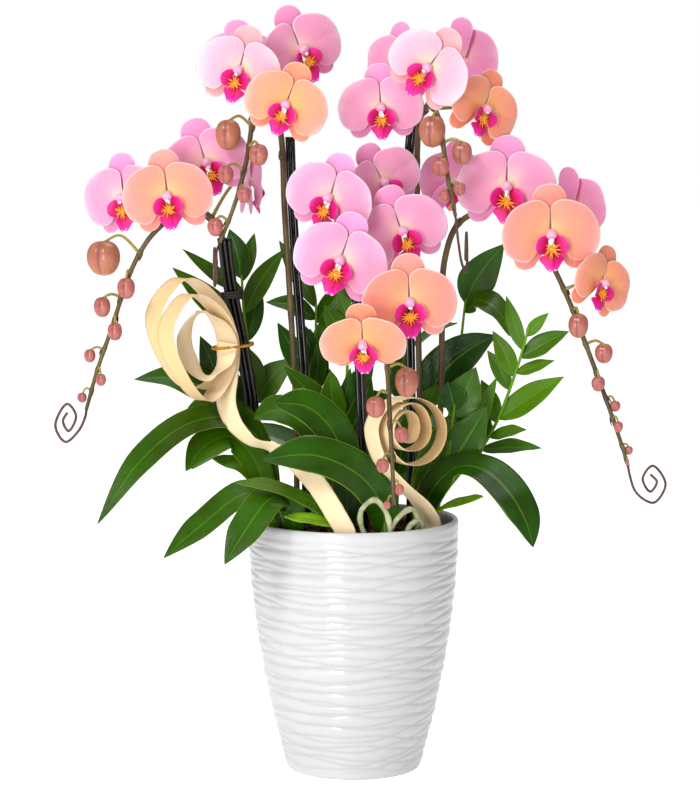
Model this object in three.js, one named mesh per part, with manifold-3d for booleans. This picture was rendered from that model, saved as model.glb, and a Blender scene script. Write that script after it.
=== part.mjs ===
// Moth orchids in a white ceramic planter: five arching flower spikes on black canes and spiral wires,
// orchid leaves, leafy green sprigs and two coils of wood-shaving ribbon.
// Units are millimetres, +Z is up, and the origin is the centre of the planter's flat underside.
// The plant faces -Y, and +X is to the right of somebody who looks at it from the front.
import * as THREE from 'three';
import { mergeVertices } from 'three/addons/utils/BufferGeometryUtils.js';
import Module from 'manifold-3d';

const wasm = await Module();
wasm.setup();

// Driving dimensions of the planter and its filling.
const POT_HEIGHT = 240;
const POT_RIM_RADIUS = 100;
const POT_TAPER = 36.5;
const POT_CURVE = 1.85;
const POT_WALL = 6;
const POT_FLOOR = 9;
const POT_FOOT_EDGE = 3;
const POT_COLUMNS = 26;
const RELIEF_ROWS = 20;
const RELIEF_DEPTH = 1.1;
const RELIEF_WAVE = 2.6;
const RELIEF_TOP = 231;
const RELIEF_BOTTOM = 9;
const MIX_EDGE_HEIGHT = 226;
const MIX_CROWN = 5;
const MIX_GAP = 0.5;
const CLEARANCE = 0.3;

// Driving dimensions of the stems, supports, ribbons and blades.
const STEM_RADIUS = 2.9;
const STEM_TIP_RADIUS = 1.7;
const STEM_STEPS = 16;
const CANE_RADIUS = 2.4;
const CANE_PITCH = 4.4;
const WIRE_RADIUS = 1.25;
const SOCKET_MARGIN = 0.75;
const SLOT_MARGIN = 1.3;
const PEDICEL_RADIUS = 1.3;
const ROOT_RADIUS = 2.6;
const RIBBON_WIDTH = 20;
const RIBBON_THICKNESS = 0.8;
const PETAL_THICKNESS = 1.3;
const SEPAL_THICKNESS = 1.2;
const CALLUS_SHARE = 0.05;
const ORCHID_LEAF_THICKNESS = 2.2;
const SPRIG_LEAF_THICKNESS = 1.4;
const STUB_LENGTH = 0.12;

const degrees = THREE.MathUtils.degToRad;

function vec(point) {
  return new THREE.Vector3(point[0], point[1], point[2]);
}

// A smooth curve through hand-placed points.
function curveThrough(points) {
  return new THREE.CatmullRomCurve3(points.map(vec), false, 'centripetal');
}

function geometryOf(vertices, triangles) {
  const geometry = new THREE.BufferGeometry();
  const positions = new Float32Array(vertices.flatMap((v) => [v.x, v.y, v.z]));
  geometry.setAttribute('position', new THREE.BufferAttribute(positions, 3));
  geometry.setIndex(triangles.flat());
  return geometry;
}

// A closed skin over rings of equal length. Each end closes in a fan to a tip, or to the ring's first point.
// The two halves of a ring are split by mirrored diagonals, so the faces of a twisted blade run side by side.
function loft(rings, startTip, endTip) {
  const sides = rings[0].length;
  const vertices = rings.flat().map((v) => v.clone());
  const triangles = [];
  for (let row = 0; row + 1 < rings.length; row += 1) {
    for (let i = 0; i < sides; i += 1) {
      const a = row * sides + i;
      const b = row * sides + ((i + 1) % sides);
      if (2 * i < sides) {
        triangles.push([a, b, b + sides], [a, b + sides, a + sides]);
      } else {
        triangles.push([a, b, a + sides], [b, b + sides, a + sides]);
      }
    }
  }
  const last = (rings.length - 1) * sides;
  closeEnd(vertices, triangles, 0, sides, startTip, true);
  closeEnd(vertices, triangles, last, sides, endTip, false);
  return geometryOf(vertices, triangles);
}

function closeEnd(vertices, triangles, first, sides, tip, atStart) {
  if (tip) {
    vertices.push(tip.clone());
    const apex = vertices.length - 1;
    for (let i = 0; i < sides; i += 1) {
      const a = first + i;
      const b = first + ((i + 1) % sides);
      triangles.push(atStart ? [apex, b, a] : [apex, a, b]);
    }
    return;
  }
  for (let i = 1; i + 1 < sides; i += 1) {
    const a = first + i;
    triangles.push(atStart ? [first, a + 1, a] : [first, a, a + 1]);
  }
}

// Rings of a tube round a path, whose frame is carried along without twist.
function tubeRings(path, radii, sides) {
  const rings = [];
  let normal = null;
  path.forEach((centre, i) => {
    const before = path[Math.max(i - 1, 0)];
    const after = path[Math.min(i + 1, path.length - 1)];
    const tangent = after.clone().sub(before).normalize();
    if (normal === null) {
      const axis = Math.abs(tangent.z) > 0.9 ? new THREE.Vector3(1, 0, 0) : new THREE.Vector3(0, 0, 1);
      normal = axis.sub(tangent.clone().multiplyScalar(axis.dot(tangent))).normalize();
    } else {
      normal = normal.sub(tangent.clone().multiplyScalar(normal.dot(tangent))).normalize();
    }
    const binormal = tangent.clone().cross(normal);
    const ring = [];
    for (let k = 0; k < sides; k += 1) {
      const angle = (2 * Math.PI * k) / sides;
      const offset = normal.clone().multiplyScalar(Math.cos(angle) * radii[i]);
      offset.addScaledVector(binormal, Math.sin(angle) * radii[i]);
      ring.push(centre.clone().add(offset));
    }
    rings.push(ring);
  });
  return rings;
}

// A tube with flat ends along a path of points, with one radius or a radius for each point.
function tube(path, radius, sides) {
  const radii = Array.isArray(radius) ? radius : path.map(() => radius);
  return loft(tubeRings(path, radii, sides));
}

function solidOf(geometry) {
  const bare = geometry.clone();
  bare.deleteAttribute('normal');
  bare.deleteAttribute('uv');
  const merged = mergeVertices(bare, 1e-4);
  return new wasm.Manifold(new wasm.Mesh({
    numProp: 3,
    vertProperties: new Float32Array(merged.attributes.position.array),
    triVerts: new Uint32Array(merged.index.array),
  }));
}

function geometryFromSolid(solid) {
  const mesh = solid.getMesh();
  const geometry = new THREE.BufferGeometry();
  geometry.setAttribute('position', new THREE.BufferAttribute(new Float32Array(mesh.vertProperties), 3));
  geometry.setIndex(Array.from(mesh.triVerts));
  return geometry;
}

// Pieces that grow together, joined into one body.
function fused(geometries) {
  return geometryFromSolid(geometries.map(solidOf).reduce((all, next) => all.add(next)));
}

function cut(geometry, holes) {
  return geometryFromSolid(holes.map(solidOf).reduce((all, next) => all.subtract(next), solidOf(geometry)));
}

// A thin blade along a curve: its section has two sharp edges and a mid rib that lies deeper than the edges.
function blade(points, halfWidth, face, steps, thickness, fold, outline) {
  const curve = curveThrough(points);
  const facing = vec(face).normalize();
  const rings = [];
  for (let i = 0; i <= steps; i += 1) {
    const t = i / (steps + 1);
    const centre = curve.getPoint(t);
    const tangent = curve.getTangent(t);
    const side = tangent.clone().cross(facing).normalize();
    const normal = side.clone().cross(tangent).normalize();
    const width = halfWidth * outline(t);
    const rib = centre.clone().addScaledVector(normal, -fold * width);
    rings.push([
      centre.clone().addScaledVector(side, -width),
      rib.clone().addScaledVector(normal, thickness / 2),
      centre.clone().addScaledVector(side, width),
      rib.clone().addScaledVector(normal, -thickness / 2),
    ]);
  }
  return loft(rings, null, curve.getPoint(1));
}

// Half-width along a broad strap-shaped leaf, and along a pointed leaflet, as shares of the widest place.
function strapOutline(t) {
  return 0.3 * (1 - t) ** 4 + Math.sqrt(1 - Math.abs(2 * t ** 1.3 - 1) ** 2.2);
}

function leafletOutline(t) {
  return 0.12 + 1.06 * Math.sin(Math.PI * t ** 0.8) ** 0.9;
}

// The planter. Its outer wall is shaped by rows that are raised and sunk by turns, and each row waves up and
// down at its own rhythm, so the rows pinch together and open into long lens-shaped scallops.
function potRadius(z) {
  return POT_RIM_RADIUS - POT_TAPER * (1 - z / POT_HEIGHT) ** POT_CURVE;
}

function potRing(radius, z) {
  const ring = [];
  for (let i = 0; i < POT_COLUMNS; i += 1) {
    const angle = (2 * Math.PI * i) / POT_COLUMNS;
    ring.push(new THREE.Vector3(radius * Math.cos(angle), radius * Math.sin(angle), z));
  }
  return ring;
}

function reliefRing(row) {
  const z0 = RELIEF_BOTTOM + ((RELIEF_TOP - RELIEF_BOTTOM) * row) / RELIEF_ROWS;
  const waves = 3 + (row % 3);
  const fade = row === 0 || row === RELIEF_ROWS ? 0 : 1;
  const ring = [];
  for (let i = 0; i < POT_COLUMNS; i += 1) {
    const angle = (2 * Math.PI * i) / POT_COLUMNS;
    const z = z0 + fade * RELIEF_WAVE * Math.sin(waves * angle + row * 2.4);
    const proud = fade * RELIEF_DEPTH * (row % 2 === 0 ? 0.35 : -0.65);
    const radius = potRadius(z) + proud;
    ring.push(new THREE.Vector3(radius * Math.cos(angle), radius * Math.sin(angle), z));
  }
  return ring;
}

function innerRadius(z) {
  return potRadius(z) - POT_WALL;
}

function makePot() {
  const rings = [potRing(potRadius(0) - POT_FOOT_EDGE, 0), potRing(potRadius(POT_FOOT_EDGE), POT_FOOT_EDGE)];
  for (let row = 0; row <= RELIEF_ROWS; row += 1) {
    rings.push(reliefRing(row));
  }
  const rim = POT_RIM_RADIUS - POT_WALL / 2;
  rings.push(potRing(POT_RIM_RADIUS, POT_HEIGHT - 3));
  rings.push(potRing(rim + 1.6, POT_HEIGHT));
  rings.push(potRing(rim - 1.6, POT_HEIGHT));
  rings.push(potRing(innerRadius(POT_HEIGHT - 3), POT_HEIGHT - 3));
  [130, 50].forEach((z) => rings.push(potRing(innerRadius(z), z)));
  rings.push(potRing(innerRadius(POT_FLOOR + 6), POT_FLOOR + 6));
  rings.push(potRing(innerRadius(POT_FLOOR) - 6, POT_FLOOR));
  return loft(rings, new THREE.Vector3(0, 0, 0), new THREE.Vector3(0, 0, POT_FLOOR));
}

// The potting mix fills the planter to just under its rim, a little higher in the middle, with a plain
// socket for every stem, cane, wire and leaf crown that stands in it.
function mixHeight(x, y) {
  return MIX_EDGE_HEIGHT + MIX_CROWN * (1 - Math.hypot(x, y) / innerRadius(MIX_EDGE_HEIGHT));
}

function makeMix(sockets) {
  const sides = 20;
  const shrink = Math.cos(Math.PI / POT_COLUMNS);
  const ring = (radius, z) => {
    const points = [];
    for (let i = 0; i < sides; i += 1) {
      const angle = (2 * Math.PI * i) / sides;
      points.push(new THREE.Vector3(radius * Math.cos(angle), radius * Math.sin(angle), z));
    }
    return points;
  };
  const rings = [ring((innerRadius(POT_FLOOR) - 6) * shrink - MIX_GAP, POT_FLOOR + CLEARANCE)];
  [POT_FLOOR + 6.4, 50, 130, MIX_EDGE_HEIGHT].forEach((z) => {
    const chord = innerRadiusOnFacets(z) * shrink - MIX_GAP;
    rings.push(ring(chord, z));
  });
  const bottom = new THREE.Vector3(0, 0, POT_FLOOR + CLEARANCE);
  const top = new THREE.Vector3(0, 0, MIX_EDGE_HEIGHT + MIX_CROWN);
  return cut(loft(rings, bottom, top), sockets);
}

// The planter's inner wall is straight between its rings, so the filling follows those chords.
function innerRadiusOnFacets(z) {
  const stops = [POT_FLOOR + 6, 50, 130, POT_HEIGHT - 3];
  for (let i = 0; i + 1 < stops.length; i += 1) {
    if (z <= stops[i + 1]) {
      const share = (z - stops[i]) / (stops[i + 1] - stops[i]);
      return THREE.MathUtils.lerp(innerRadius(stops[i]), innerRadius(stops[i + 1]), share);
    }
  }
  return innerRadius(z);
}

// The foot of a route, down to just below its end and up to just above the mix.
function buriedStretch(path) {
  const surface = MIX_EDGE_HEIGHT + MIX_CROWN + 6;
  const route = [path[0].clone().setZ(path[0].z - CLEARANCE)];
  let i = 1;
  while (path[i].z < surface) {
    route.push(path[i].clone());
    i += 1;
  }
  const share = (surface - path[i - 1].z) / (path[i].z - path[i - 1].z);
  route.push(path[i - 1].clone().lerp(path[i], share));
  return route;
}

// The hole that a round stem leaves in the mix.
function socketAlong(path, radius) {
  return tube(buriedStretch(path), radius + SOCKET_MARGIN, 6);
}

// Flower spikes: the stem's route from its foot in the mix to its tip, which hangs free.
const SPIKES = {
  a: [
    [-52, 8, 186], [-54, 8, 260], [-55, 7, 350], [-60, 6, 446], [-65, 6, 531], [-68, 6, 600], [-74, 0, 628],
    [-82, -18, 640], [-89, -40, 634], [-93, -58, 612], [-97, -72, 583], [-104, -84, 553], [-112, -92, 529],
    [-121, -100, 506],
  ],
  b: [
    [-70, 22, 186], [-76, 20, 245], [-88, 16, 300], [-97, 10, 352], [-106, 5, 402], [-117, 0, 462],
    [-124, -6, 508], [-136, -20, 528], [-150, -38, 534], [-164, -56, 530], [-176, -67, 520],
    [-189, -68, 506], [-205, -67, 477], [-221, -73, 429], [-235, -79, 388], [-245, -84, 352],
  ],
  c: [
    [62, 14, 186], [64, 15, 281], [63, 15, 349], [61, 15, 445], [60, 14, 540], [60, 10, 590], [62, -4, 616],
    [68, -24, 628], [75, -44, 625], [80, -58, 608], [82, -68, 590], [85, -79, 568], [89, -89, 545],
    [92, -95, 530],
  ],
  d: [
    [70, 12, 186], [78, 10, 260], [83, 10, 351], [84, 10, 427], [86, 8, 484], [98, 2, 518], [120, -8, 531],
    [146, -20, 530], [166, -32, 514], [180, -42, 490], [198, -52, 452], [216, -62, 405], [231, -70, 364],
    [245, -78, 323], [252, -83, 300],
  ],
  e: [
    [12, -8, 186], [12, -9, 290], [9, -9, 370], [5, -9, 448], [3, -14, 490], [5, -28, 511], [10, -48, 512],
    [15, -64, 496], [19, -80, 470], [24, -98, 440], [29, -112, 408], [31, -122, 380], [33, -130, 339],
    [35, -137, 300], [36, -140, 272],
  ],
};

// Buds of each spike: the bud's centre, its width and its height.
const BUDS = {
  a: [
    [[-114, -70, 603], 24, 27], [[-86, -86, 585], 18, 19], [[-116, -86, 567], 15, 16],
      [[-99, -95, 549], 13, 14],
    [[-125, -98, 520], 15, 16],
  ],
  b: [
    [[-228, -76, 491], 32, 31], [[-208, -74, 463], 17, 19], [[-230, -76, 446], 16, 18],
    [[-218, -82, 424], 14, 16], [[-242, -74, 401], 11, 12], [[-231, -86, 380], 10, 11],
    [[-249, -80, 363], 9, 9],
  ],
  c: [
    [[72, -66, 606], 25, 28], [[99, -68, 586], 19, 21], [[79, -84, 574], 17, 17], [[96, -86, 554], 12, 12],
    [[82, -94, 548], 9, 11], [[87, -100, 537], 5, 5],
  ],
  d: [
    [[207, -64, 428], 19, 22], [[231, -60, 402], 17, 18], [[225, -72, 375], 13, 14], [[241, -70, 354],
      10, 10],
    [[243, -80, 336], 9, 10], [[253, -78, 314], 8, 8], [[251, -86, 303], 4, 4],
  ],
  e: [
    [[48, -124, 382], 22, 26], [[20, -130, 360], 18, 19], [[43, -132, 335], 13, 14], [[26, -139, 308],
      12, 13],
    [[41, -138, 286], 9, 10], [[30, -143, 273], 7, 7],
  ],
};

// Open flowers: the place of the column's foot, the spread, how far the face turns to the right, nods and
// rolls clockwise in degrees, the colour and the spike that carries it.
const BLOOMS = [
  ['bloom_01', [-103, -72, 662], 82, -14, 4, 14, 'blush', 'a'],
  ['bloom_02', [-50, -30, 681], 86, 30, 2, -22, 'pink', 'a'],
  ['bloom_03', [-60, -104, 631], 78, -8, 6, 20, 'orange', 'a'],
  ['bloom_04', [-108, 6, 672], 76, 168, 0, 0, 'pink', 'a'],
  ['bloom_05', [-136, -56, 578], 84, 12, 4, -18, 'pink', 'b'],
  ['bloom_06', [-98, 12, 556], 76, 105, 0, 0, 'pink', 'b'],
  ['bloom_07', [-212, -36, 545], 84, -25, 3, -8, 'pink', 'b'],
  ['bloom_08', [-168, -94, 549], 84, -4, 4, -8, 'peach', 'b'],
  ['bloom_09', [43, -2, 668], 80, -45, 3, 0, 'pink', 'c'],
  ['bloom_10', [69, -74, 664], 82, -20, 3, 36, 'blush', 'c'],
  ['bloom_11', [104, 30, 674], 78, 140, 0, 0, 'pink', 'c'],
  ['bloom_12', [25, -38, 629], 80, 0, 12, -3, 'pink', 'c'],
  ['bloom_13', [119, -46, 627], 76, 32, 3, 24, 'orange', 'c'],
  ['bloom_14', [-21, -96, 547], 84, -18, 4, 18, 'pink', 'e'],
  ['bloom_15', [26, -48, 560], 78, 25, 6, -30, 'pink', 'e'],
  ['bloom_16', [43, -88, 517], 86, 10, 6, -20, 'pink', 'e'],
  ['bloom_17', [-11, -130, 493], 88, -10, 5, 18, 'pink', 'e'],
  ['bloom_18', [49, -154, 457], 86, 4, 6, -2, 'peach', 'e'],
  ['bloom_19', [8, -174, 423], 78, -2, 32, -3, 'orange', 'e'],
  ['bloom_20', [96, 26, 560], 76, -150, 0, 0, 'pink', 'd'],
  ['bloom_21', [141, -42, 556], 94, 0, 4, 2, 'pink', 'd'],
  ['bloom_22', [179, -84, 514], 91, 2, 6, -2, 'peach', 'd'],
  ['bloom_23', [207, 4, 533], 80, 130, 0, 8, 'pink', 'd'],
  ['bloom_24', [226, -72, 468], 72, 38, 4, 22, 'orange', 'd'],
];

// Outline of the left petal, as shares of the flower's spread from the column's foot. The right one mirrors it.
const PETAL_OUTLINE = [
  [-0.008, 0], [-0.06, 0.27], [-0.2, 0.325], [-0.4, 0.19], [-0.49, -0.02], [-0.4, -0.22], [-0.22, -0.29],
  [-0.09, -0.14],
];
const DORSAL_OUTLINE = [
  [0, 0.01], [0.15, 0.23], [0.14, 0.38], [0.04, 0.475], [-0.09, 0.46], [-0.16, 0.3],
];
const LATERAL_OUTLINE = [
  [-0.005, -0.01], [-0.09, -0.24], [-0.19, -0.365], [-0.32, -0.36], [-0.37, -0.23], [-0.22, -0.06],
];

function petalDepth(x, y) {
  return 0.012 + 0.3 * Math.abs(x) - 0.46 * x * x - 0.25 * (y - 0.02) ** 2;
}

function sepalDepth(x, y) {
  return -0.022 - 0.12 * (x * x + y * y);
}

// A thin round blade: an outline, a ring half way in and a middle point, raised on both faces.
function petalBlade(outline, depth, spread, thickness, mirrored) {
  const flip = mirrored ? -1 : 1;
  const count = outline.length;
  const middle = outline.reduce((sum, p) => [sum[0] + p[0] / count, sum[1] + p[1] / count], [0, 0]);
  const inner = outline.filter((_, i) => i % 2 === 0).map((p) => [
    middle[0] + 0.55 * (p[0] - middle[0]), middle[1] + 0.55 * (p[1] - middle[1]),
  ]);
  const at = (p, lift) => new THREE.Vector3(
    flip * p[0] * spread, p[1] * spread, depth(p[0], p[1]) * spread + lift,
  );
  const half = thickness / 2;
  const vertices = outline.map((p) => at(p, 0));
  vertices.push(...inner.map((p) => at(p, half)), at(middle, half));
  vertices.push(...inner.map((p) => at(p, -half)), at(middle, -half));
  const ring = inner.length;
  const triangles = [];
  for (let i = 0; i < ring; i += 1) {
    const next = (i + 1) % ring;
    const outer = [2 * i, 2 * i + 1, (2 * i + 2) % count];
    [count, count + ring + 1].forEach((start, side) => {
      const face = [
        [start + i, outer[0], outer[1]], [start + i, outer[1], start + next],
        [start + next, outer[1], outer[2]], [start + ring, start + i, start + next],
      ];
      const keep = (side === 0) !== mirrored;
      triangles.push(...face.map((t) => (keep ? t : [t[0], t[2], t[1]])));
    });
  }
  return geometryOf(vertices, triangles);
}

// A thin blade with a plain fan of triangles on each face, round a raised middle point.
function fanBlade(points, middle, normal, thickness) {
  const vertices = points.map((p) => p.clone());
  vertices.push(middle.clone().addScaledVector(normal, thickness / 2));
  vertices.push(middle.clone().addScaledVector(normal, -thickness / 2));
  const count = points.length;
  const triangles = [];
  for (let i = 0; i < count; i += 1) {
    const next = (i + 1) % count;
    triangles.push([count, i, next], [count + 1, next, i]);
  }
  return geometryOf(vertices, triangles);
}

function sepal(outline, spread, mirrored) {
  const flip = mirrored ? -1 : 1;
  let points = outline.map(
    ([x, y]) => new THREE.Vector3(flip * x, y, sepalDepth(x, y)).multiplyScalar(spread),
  );
  const area = THREE.ShapeUtils.area(points);
  if (area < 0) {
    points = points.reverse();
  }
  const count = points.length;
  const middle = points.reduce((sum, p) => sum.addScaledVector(p, 1 / count), new THREE.Vector3());
  middle.z += 0.012 * spread;
  return fanBlade(points, middle, new THREE.Vector3(0, 0, 1), SEPAL_THICKNESS);
}

// Left half of the lip's outline, with its depth: the foot, the lobe that stands up beside the column, and the
// narrow tip. The right half mirrors it, and the callus is the raised middle.
const LIP_OUTLINE = [
  [-0.1, -0.04, 0.085], [-0.152, -0.11, 0.11], [-0.13, -0.2, 0.1], [-0.07, -0.23, 0.085],
    [-0.04, -0.34, 0.11],
];

function lip(spread) {
  const right = LIP_OUTLINE.map(([x, y, z]) => [-x, y, z]).reverse();
  const points = [[0, 0, 0.03], ...LIP_OUTLINE, ...right].map((p) => vec(p).multiplyScalar(spread));
  const callus = vec([0, -0.15, 0.085]).multiplyScalar(spread);
  return fanBlade(points, callus, new THREE.Vector3(0, 0, 1), CALLUS_SHARE * spread);
}

function columnAndStub(spread) {
  const path = [[0, 0, -STUB_LENGTH], [0, -0.03, 0.125]].map((p) => vec(p).multiplyScalar(spread));
  return tube(path, [0.02 * spread, 0.046 * spread], 4);
}

function makeBloom(spread) {
  return fused([
    petalBlade(PETAL_OUTLINE, petalDepth, spread, PETAL_THICKNESS, false),
    petalBlade(PETAL_OUTLINE, petalDepth, spread, PETAL_THICKNESS, true),
    sepal(DORSAL_OUTLINE, spread, false),
    sepal(LATERAL_OUTLINE, spread, false),
    sepal(LATERAL_OUTLINE, spread, true),
    columnAndStub(spread),
    lip(spread),
  ]);
}

// A flower's own axes: x to its right as somebody facing it sees it, y up the dorsal sepal, z out of its face.
function bloomMatrix(place, turn, nod, roll) {
  return new THREE.Matrix4().makeTranslation(...place)
    .multiply(new THREE.Matrix4().makeRotationZ(degrees(turn)))
    .multiply(new THREE.Matrix4().makeRotationX(degrees(90 + nod)))
    .multiply(new THREE.Matrix4().makeRotationZ(degrees(-roll)));
}

// The point of a route nearest to a place, at least a given share of the way along it.
function nearestShare(curve, place) {
  let best = 0;
  let least = Infinity;
  for (let i = 0; i <= 200; i += 1) {
    const distance = curve.getPoint(i / 200).distanceTo(place);
    if (distance < least) {
      least = distance;
      best = i / 200;
    }
  }
  return best;
}

function stemRadiusAt(share) {
  return THREE.MathUtils.lerp(STEM_RADIUS, STEM_TIP_RADIUS, Math.max(0, (share - 0.35) / 0.65) ** 1.3);
}

function budBody(centre, width, height) {
  const rings = [[-0.2, 0.86], [0.2, 0.94]].map(([level, share], row) => {
    const ring = [];
    for (let i = 0; i < 5; i += 1) {
      const angle = (2 * Math.PI * (i + row / 2)) / 5;
      const r = (share * width) / 2;
      ring.push(new THREE.Vector3(
        centre.x + r * Math.cos(angle), centre.y + r * Math.sin(angle), centre.z + level * height,
      ));
    }
    return ring;
  });
  const low = new THREE.Vector3(centre.x, centre.y, centre.z - height / 2);
  const high = new THREE.Vector3(centre.x, centre.y, centre.z + height / 2);
  return loft(rings, low, high);
}

// A bud's stalk leaves the stem a little above the bud, arches over and comes down on the bud's top.
function budWithPedicel(curve, centre, width, height) {
  const top = new THREE.Vector3(centre.x, centre.y, centre.z + height / 2 - 1);
  const share = Math.max(0, nearestShare(curve, top) - 0.008);
  const start = curve.getPoint(share);
  const rise = Math.max(2, width * 0.18);
  const middle = start.clone().lerp(top, 0.55);
  middle.z = Math.max(start.z, top.z) + rise;
  const stalk = new THREE.CatmullRomCurve3([start, middle, top], false, 'centripetal').getPoints(2);
  const radius = Math.min(PEDICEL_RADIUS, 0.5 + width * 0.05);
  return [budBody(centre, width, height), tube(stalk, radius, 3)];
}

// A flower's stalk leaves the stem and comes up to the flower's stub from behind, a hair short of it.
function bloomPedicel(curve, bloom) {
  const [, place, spread, turn, nod, roll] = bloom;
  const matrix = bloomMatrix(place, turn, nod, roll);
  const end = new THREE.Vector3(0, 0, -STUB_LENGTH * spread - CLEARANCE).applyMatrix4(matrix);
  const near = new THREE.Vector3(0, 0, -STUB_LENGTH * spread - 5).applyMatrix4(matrix);
  const behind = new THREE.Vector3(0, 0, -0.26 * spread).applyMatrix4(matrix);
  const start = curve.getPoint(nearestShare(curve, behind));
  const bow = new THREE.QuadraticBezierCurve3(start, behind, near);
  return tube([...bow.getPoints(2), end], [1.7, 1.5, 1.5, 1.6], 3);
}

function makeSpike(key) {
  const curve = curveThrough(SPIKES[key]);
  const path = curve.getPoints(STEM_STEPS);
  const radii = path.map((_, i) => stemRadiusAt(i / STEM_STEPS));
  const pieces = [tube(path, radii, 5)];
  BUDS[key].forEach(([centre, width, height]) => {
    pieces.push(...budWithPedicel(curve, vec(centre), width, height));
  });
  BLOOMS.filter((bloom) => bloom[7] === key).forEach((bloom) => {
    pieces.push(bloomPedicel(curve, bloom));
  });
  return fused(pieces);
}

// Black canes, side by side in a row and tied together, so each bundle is one body.
const CANES = {
  a: { rods: 2, route: [[-45, 14, 186], [-46, 14, 350], [-51, 14, 431], [-57, 14, 518], [-60, 14, 600]] },
  b: {
    rods: 3,
    route: [
      [-78, 7, 186], [-82, 6, 245], [-92, 2, 300], [-97, -2, 352], [-105, -6, 402], [-116, -11, 462],
      [-121, -16, 506],
    ],
  },
  c: { rods: 2, route: [[55, 24, 186], [55, 24, 350], [53, 23, 450], [52, 22, 575], [56, 21, 622]] },
  e: { rods: 2, route: [[10, -20, 186], [9, -20, 290], [6, -20, 370], [3, -22, 450], [3, -23, 480]] },
};

function makeCanes(key) {
  const { rods, route } = CANES[key];
  const front = [];
  for (let i = 0; i < rods; i += 1) {
    const x = (i - (rods - 1) / 2) * CANE_PITCH;
    front.push([x - 1, -CANE_RADIUS], [x + 1, -CANE_RADIUS]);
  }
  const end = ((rods - 1) / 2) * CANE_PITCH + CANE_RADIUS;
  const back = front.map(([x, y]) => [-x, -y]);
  const outline = [...front, [end, 0], ...back, [-end, 0]];
  const rings = route.map(([x, y, z]) => outline.map(([u, v]) => new THREE.Vector3(x + u, y + v, z)));
  return loft(rings);
}

// The slot that a row of canes leaves in the mix.
function canesSocket(key) {
  const { rods, route } = CANES[key];
  const half = ((rods - 1) / 2) * CANE_PITCH;
  const reach = CANE_RADIUS + SOCKET_MARGIN;
  const outline = [
    [half + reach, 0], [half + 1.4, reach], [-half - 1.4, reach],
    [-half - reach, 0], [-half - 1.4, -reach], [half + 1.4, -reach],
  ];
  const rings = buriedStretch(route.map(vec)).map((centre) => outline.map(
    ([x, y]) => new THREE.Vector3(centre.x + x, centre.y + y, centre.z),
  ));
  return loft(rings);
}

// Spiral ends of the support wires, in the order in which the wire runs.
const WIRE_ENDS = {
  a: [[-124, -102, 498], [-124, -98, 486], [-124, -104, 474], [-125, -118, 468], [-125, -128, 478],
    [-125, -128, 494], [-125, -118, 502], [-124, -110, 494], [-124, -112, 483], [-124, -120, 484]],
  b: [[-246, -86, 345], [-252, -88, 333], [-264, -88, 323], [-273, -88, 338], [-262, -88, 358],
    [-254, -88, 347], [-261, -88, 333], [-266, -88, 342], [-262, -88, 350]],
  c: [[95, -92, 505], [98, -86, 488], [102, -78, 478], [104, -66, 486], [104, -64, 502], [103, -74, 514],
    [102, -82, 504], [102, -80, 490], [103, -72, 490]],
  d: [[254, -83, 290], [258, -86, 278], [266, -88, 270], [276, -88, 267], [286, -88, 284], [274, -88, 301],
    [265, -88, 289], [272, -88, 277], [278, -88, 286], [272, -88, 293]],
};

// The step of its stem at which each wire starts.
const WIRE_START = { a: 9, b: 10, c: 9, d: 0 };

// A wire lies close behind its stem, then leaves the stem's tip and ends in a flat spiral.
function wirePath(key) {
  const curve = curveThrough(SPIKES[key]);
  const path = [];
  for (let i = WIRE_START[key]; i <= STEM_STEPS; i += 1) {
    const share = i / STEM_STEPS;
    const tangent = curve.getTangent(share);
    const back = new THREE.Vector3(0, 1, 0);
    back.sub(tangent.clone().multiplyScalar(back.dot(tangent))).normalize();
    const gap = stemRadiusAt(share) + WIRE_RADIUS + CLEARANCE * 2;
    path.push(curve.getPoint(share).addScaledVector(back, gap));
  }
  const spiral = [path[path.length - 1], ...WIRE_ENDS[key].map(vec)];
  const end = new THREE.CatmullRomCurve3(spiral, false, 'centripetal');
  path.push(...end.getPoints(16).slice(1));
  return path;
}

function makeWire(key) {
  return tube(wirePath(key), WIRE_RADIUS, 4);
}

// A flat strip along a route. Its broad side turns as the third column of each stop says, in degrees from
// the depth axis towards the right.
function ribbon(stops, steps) {
  const curve = curveThrough(stops.map((stop) => stop[0]));
  const turns = stops.map((stop) => stop[1]);
  const rings = [];
  for (let i = 0; i <= steps; i += 1) {
    const t = i / steps;
    const place = t * (stops.length - 1);
    const low = Math.min(Math.floor(place), stops.length - 2);
    const turn = degrees(THREE.MathUtils.lerp(turns[low], turns[low + 1], place - low));
    const centre = curve.getPoint(t);
    const tangent = curve.getTangent(t);
    const across = new THREE.Vector3(Math.sin(turn), -Math.cos(turn), 0);
    across.sub(tangent.clone().multiplyScalar(across.dot(tangent))).normalize();
    const normal = tangent.clone().cross(across).normalize();
    const corner = (u, v) => centre.clone()
      .addScaledVector(across, (u * RIBBON_WIDTH) / 2)
      .addScaledVector(normal, (v * RIBBON_THICKNESS) / 2);
    rings.push([corner(-1, -1), corner(1, -1), corner(1, 1), corner(-1, 1)]);
  }
  return loft(rings);
}

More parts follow.
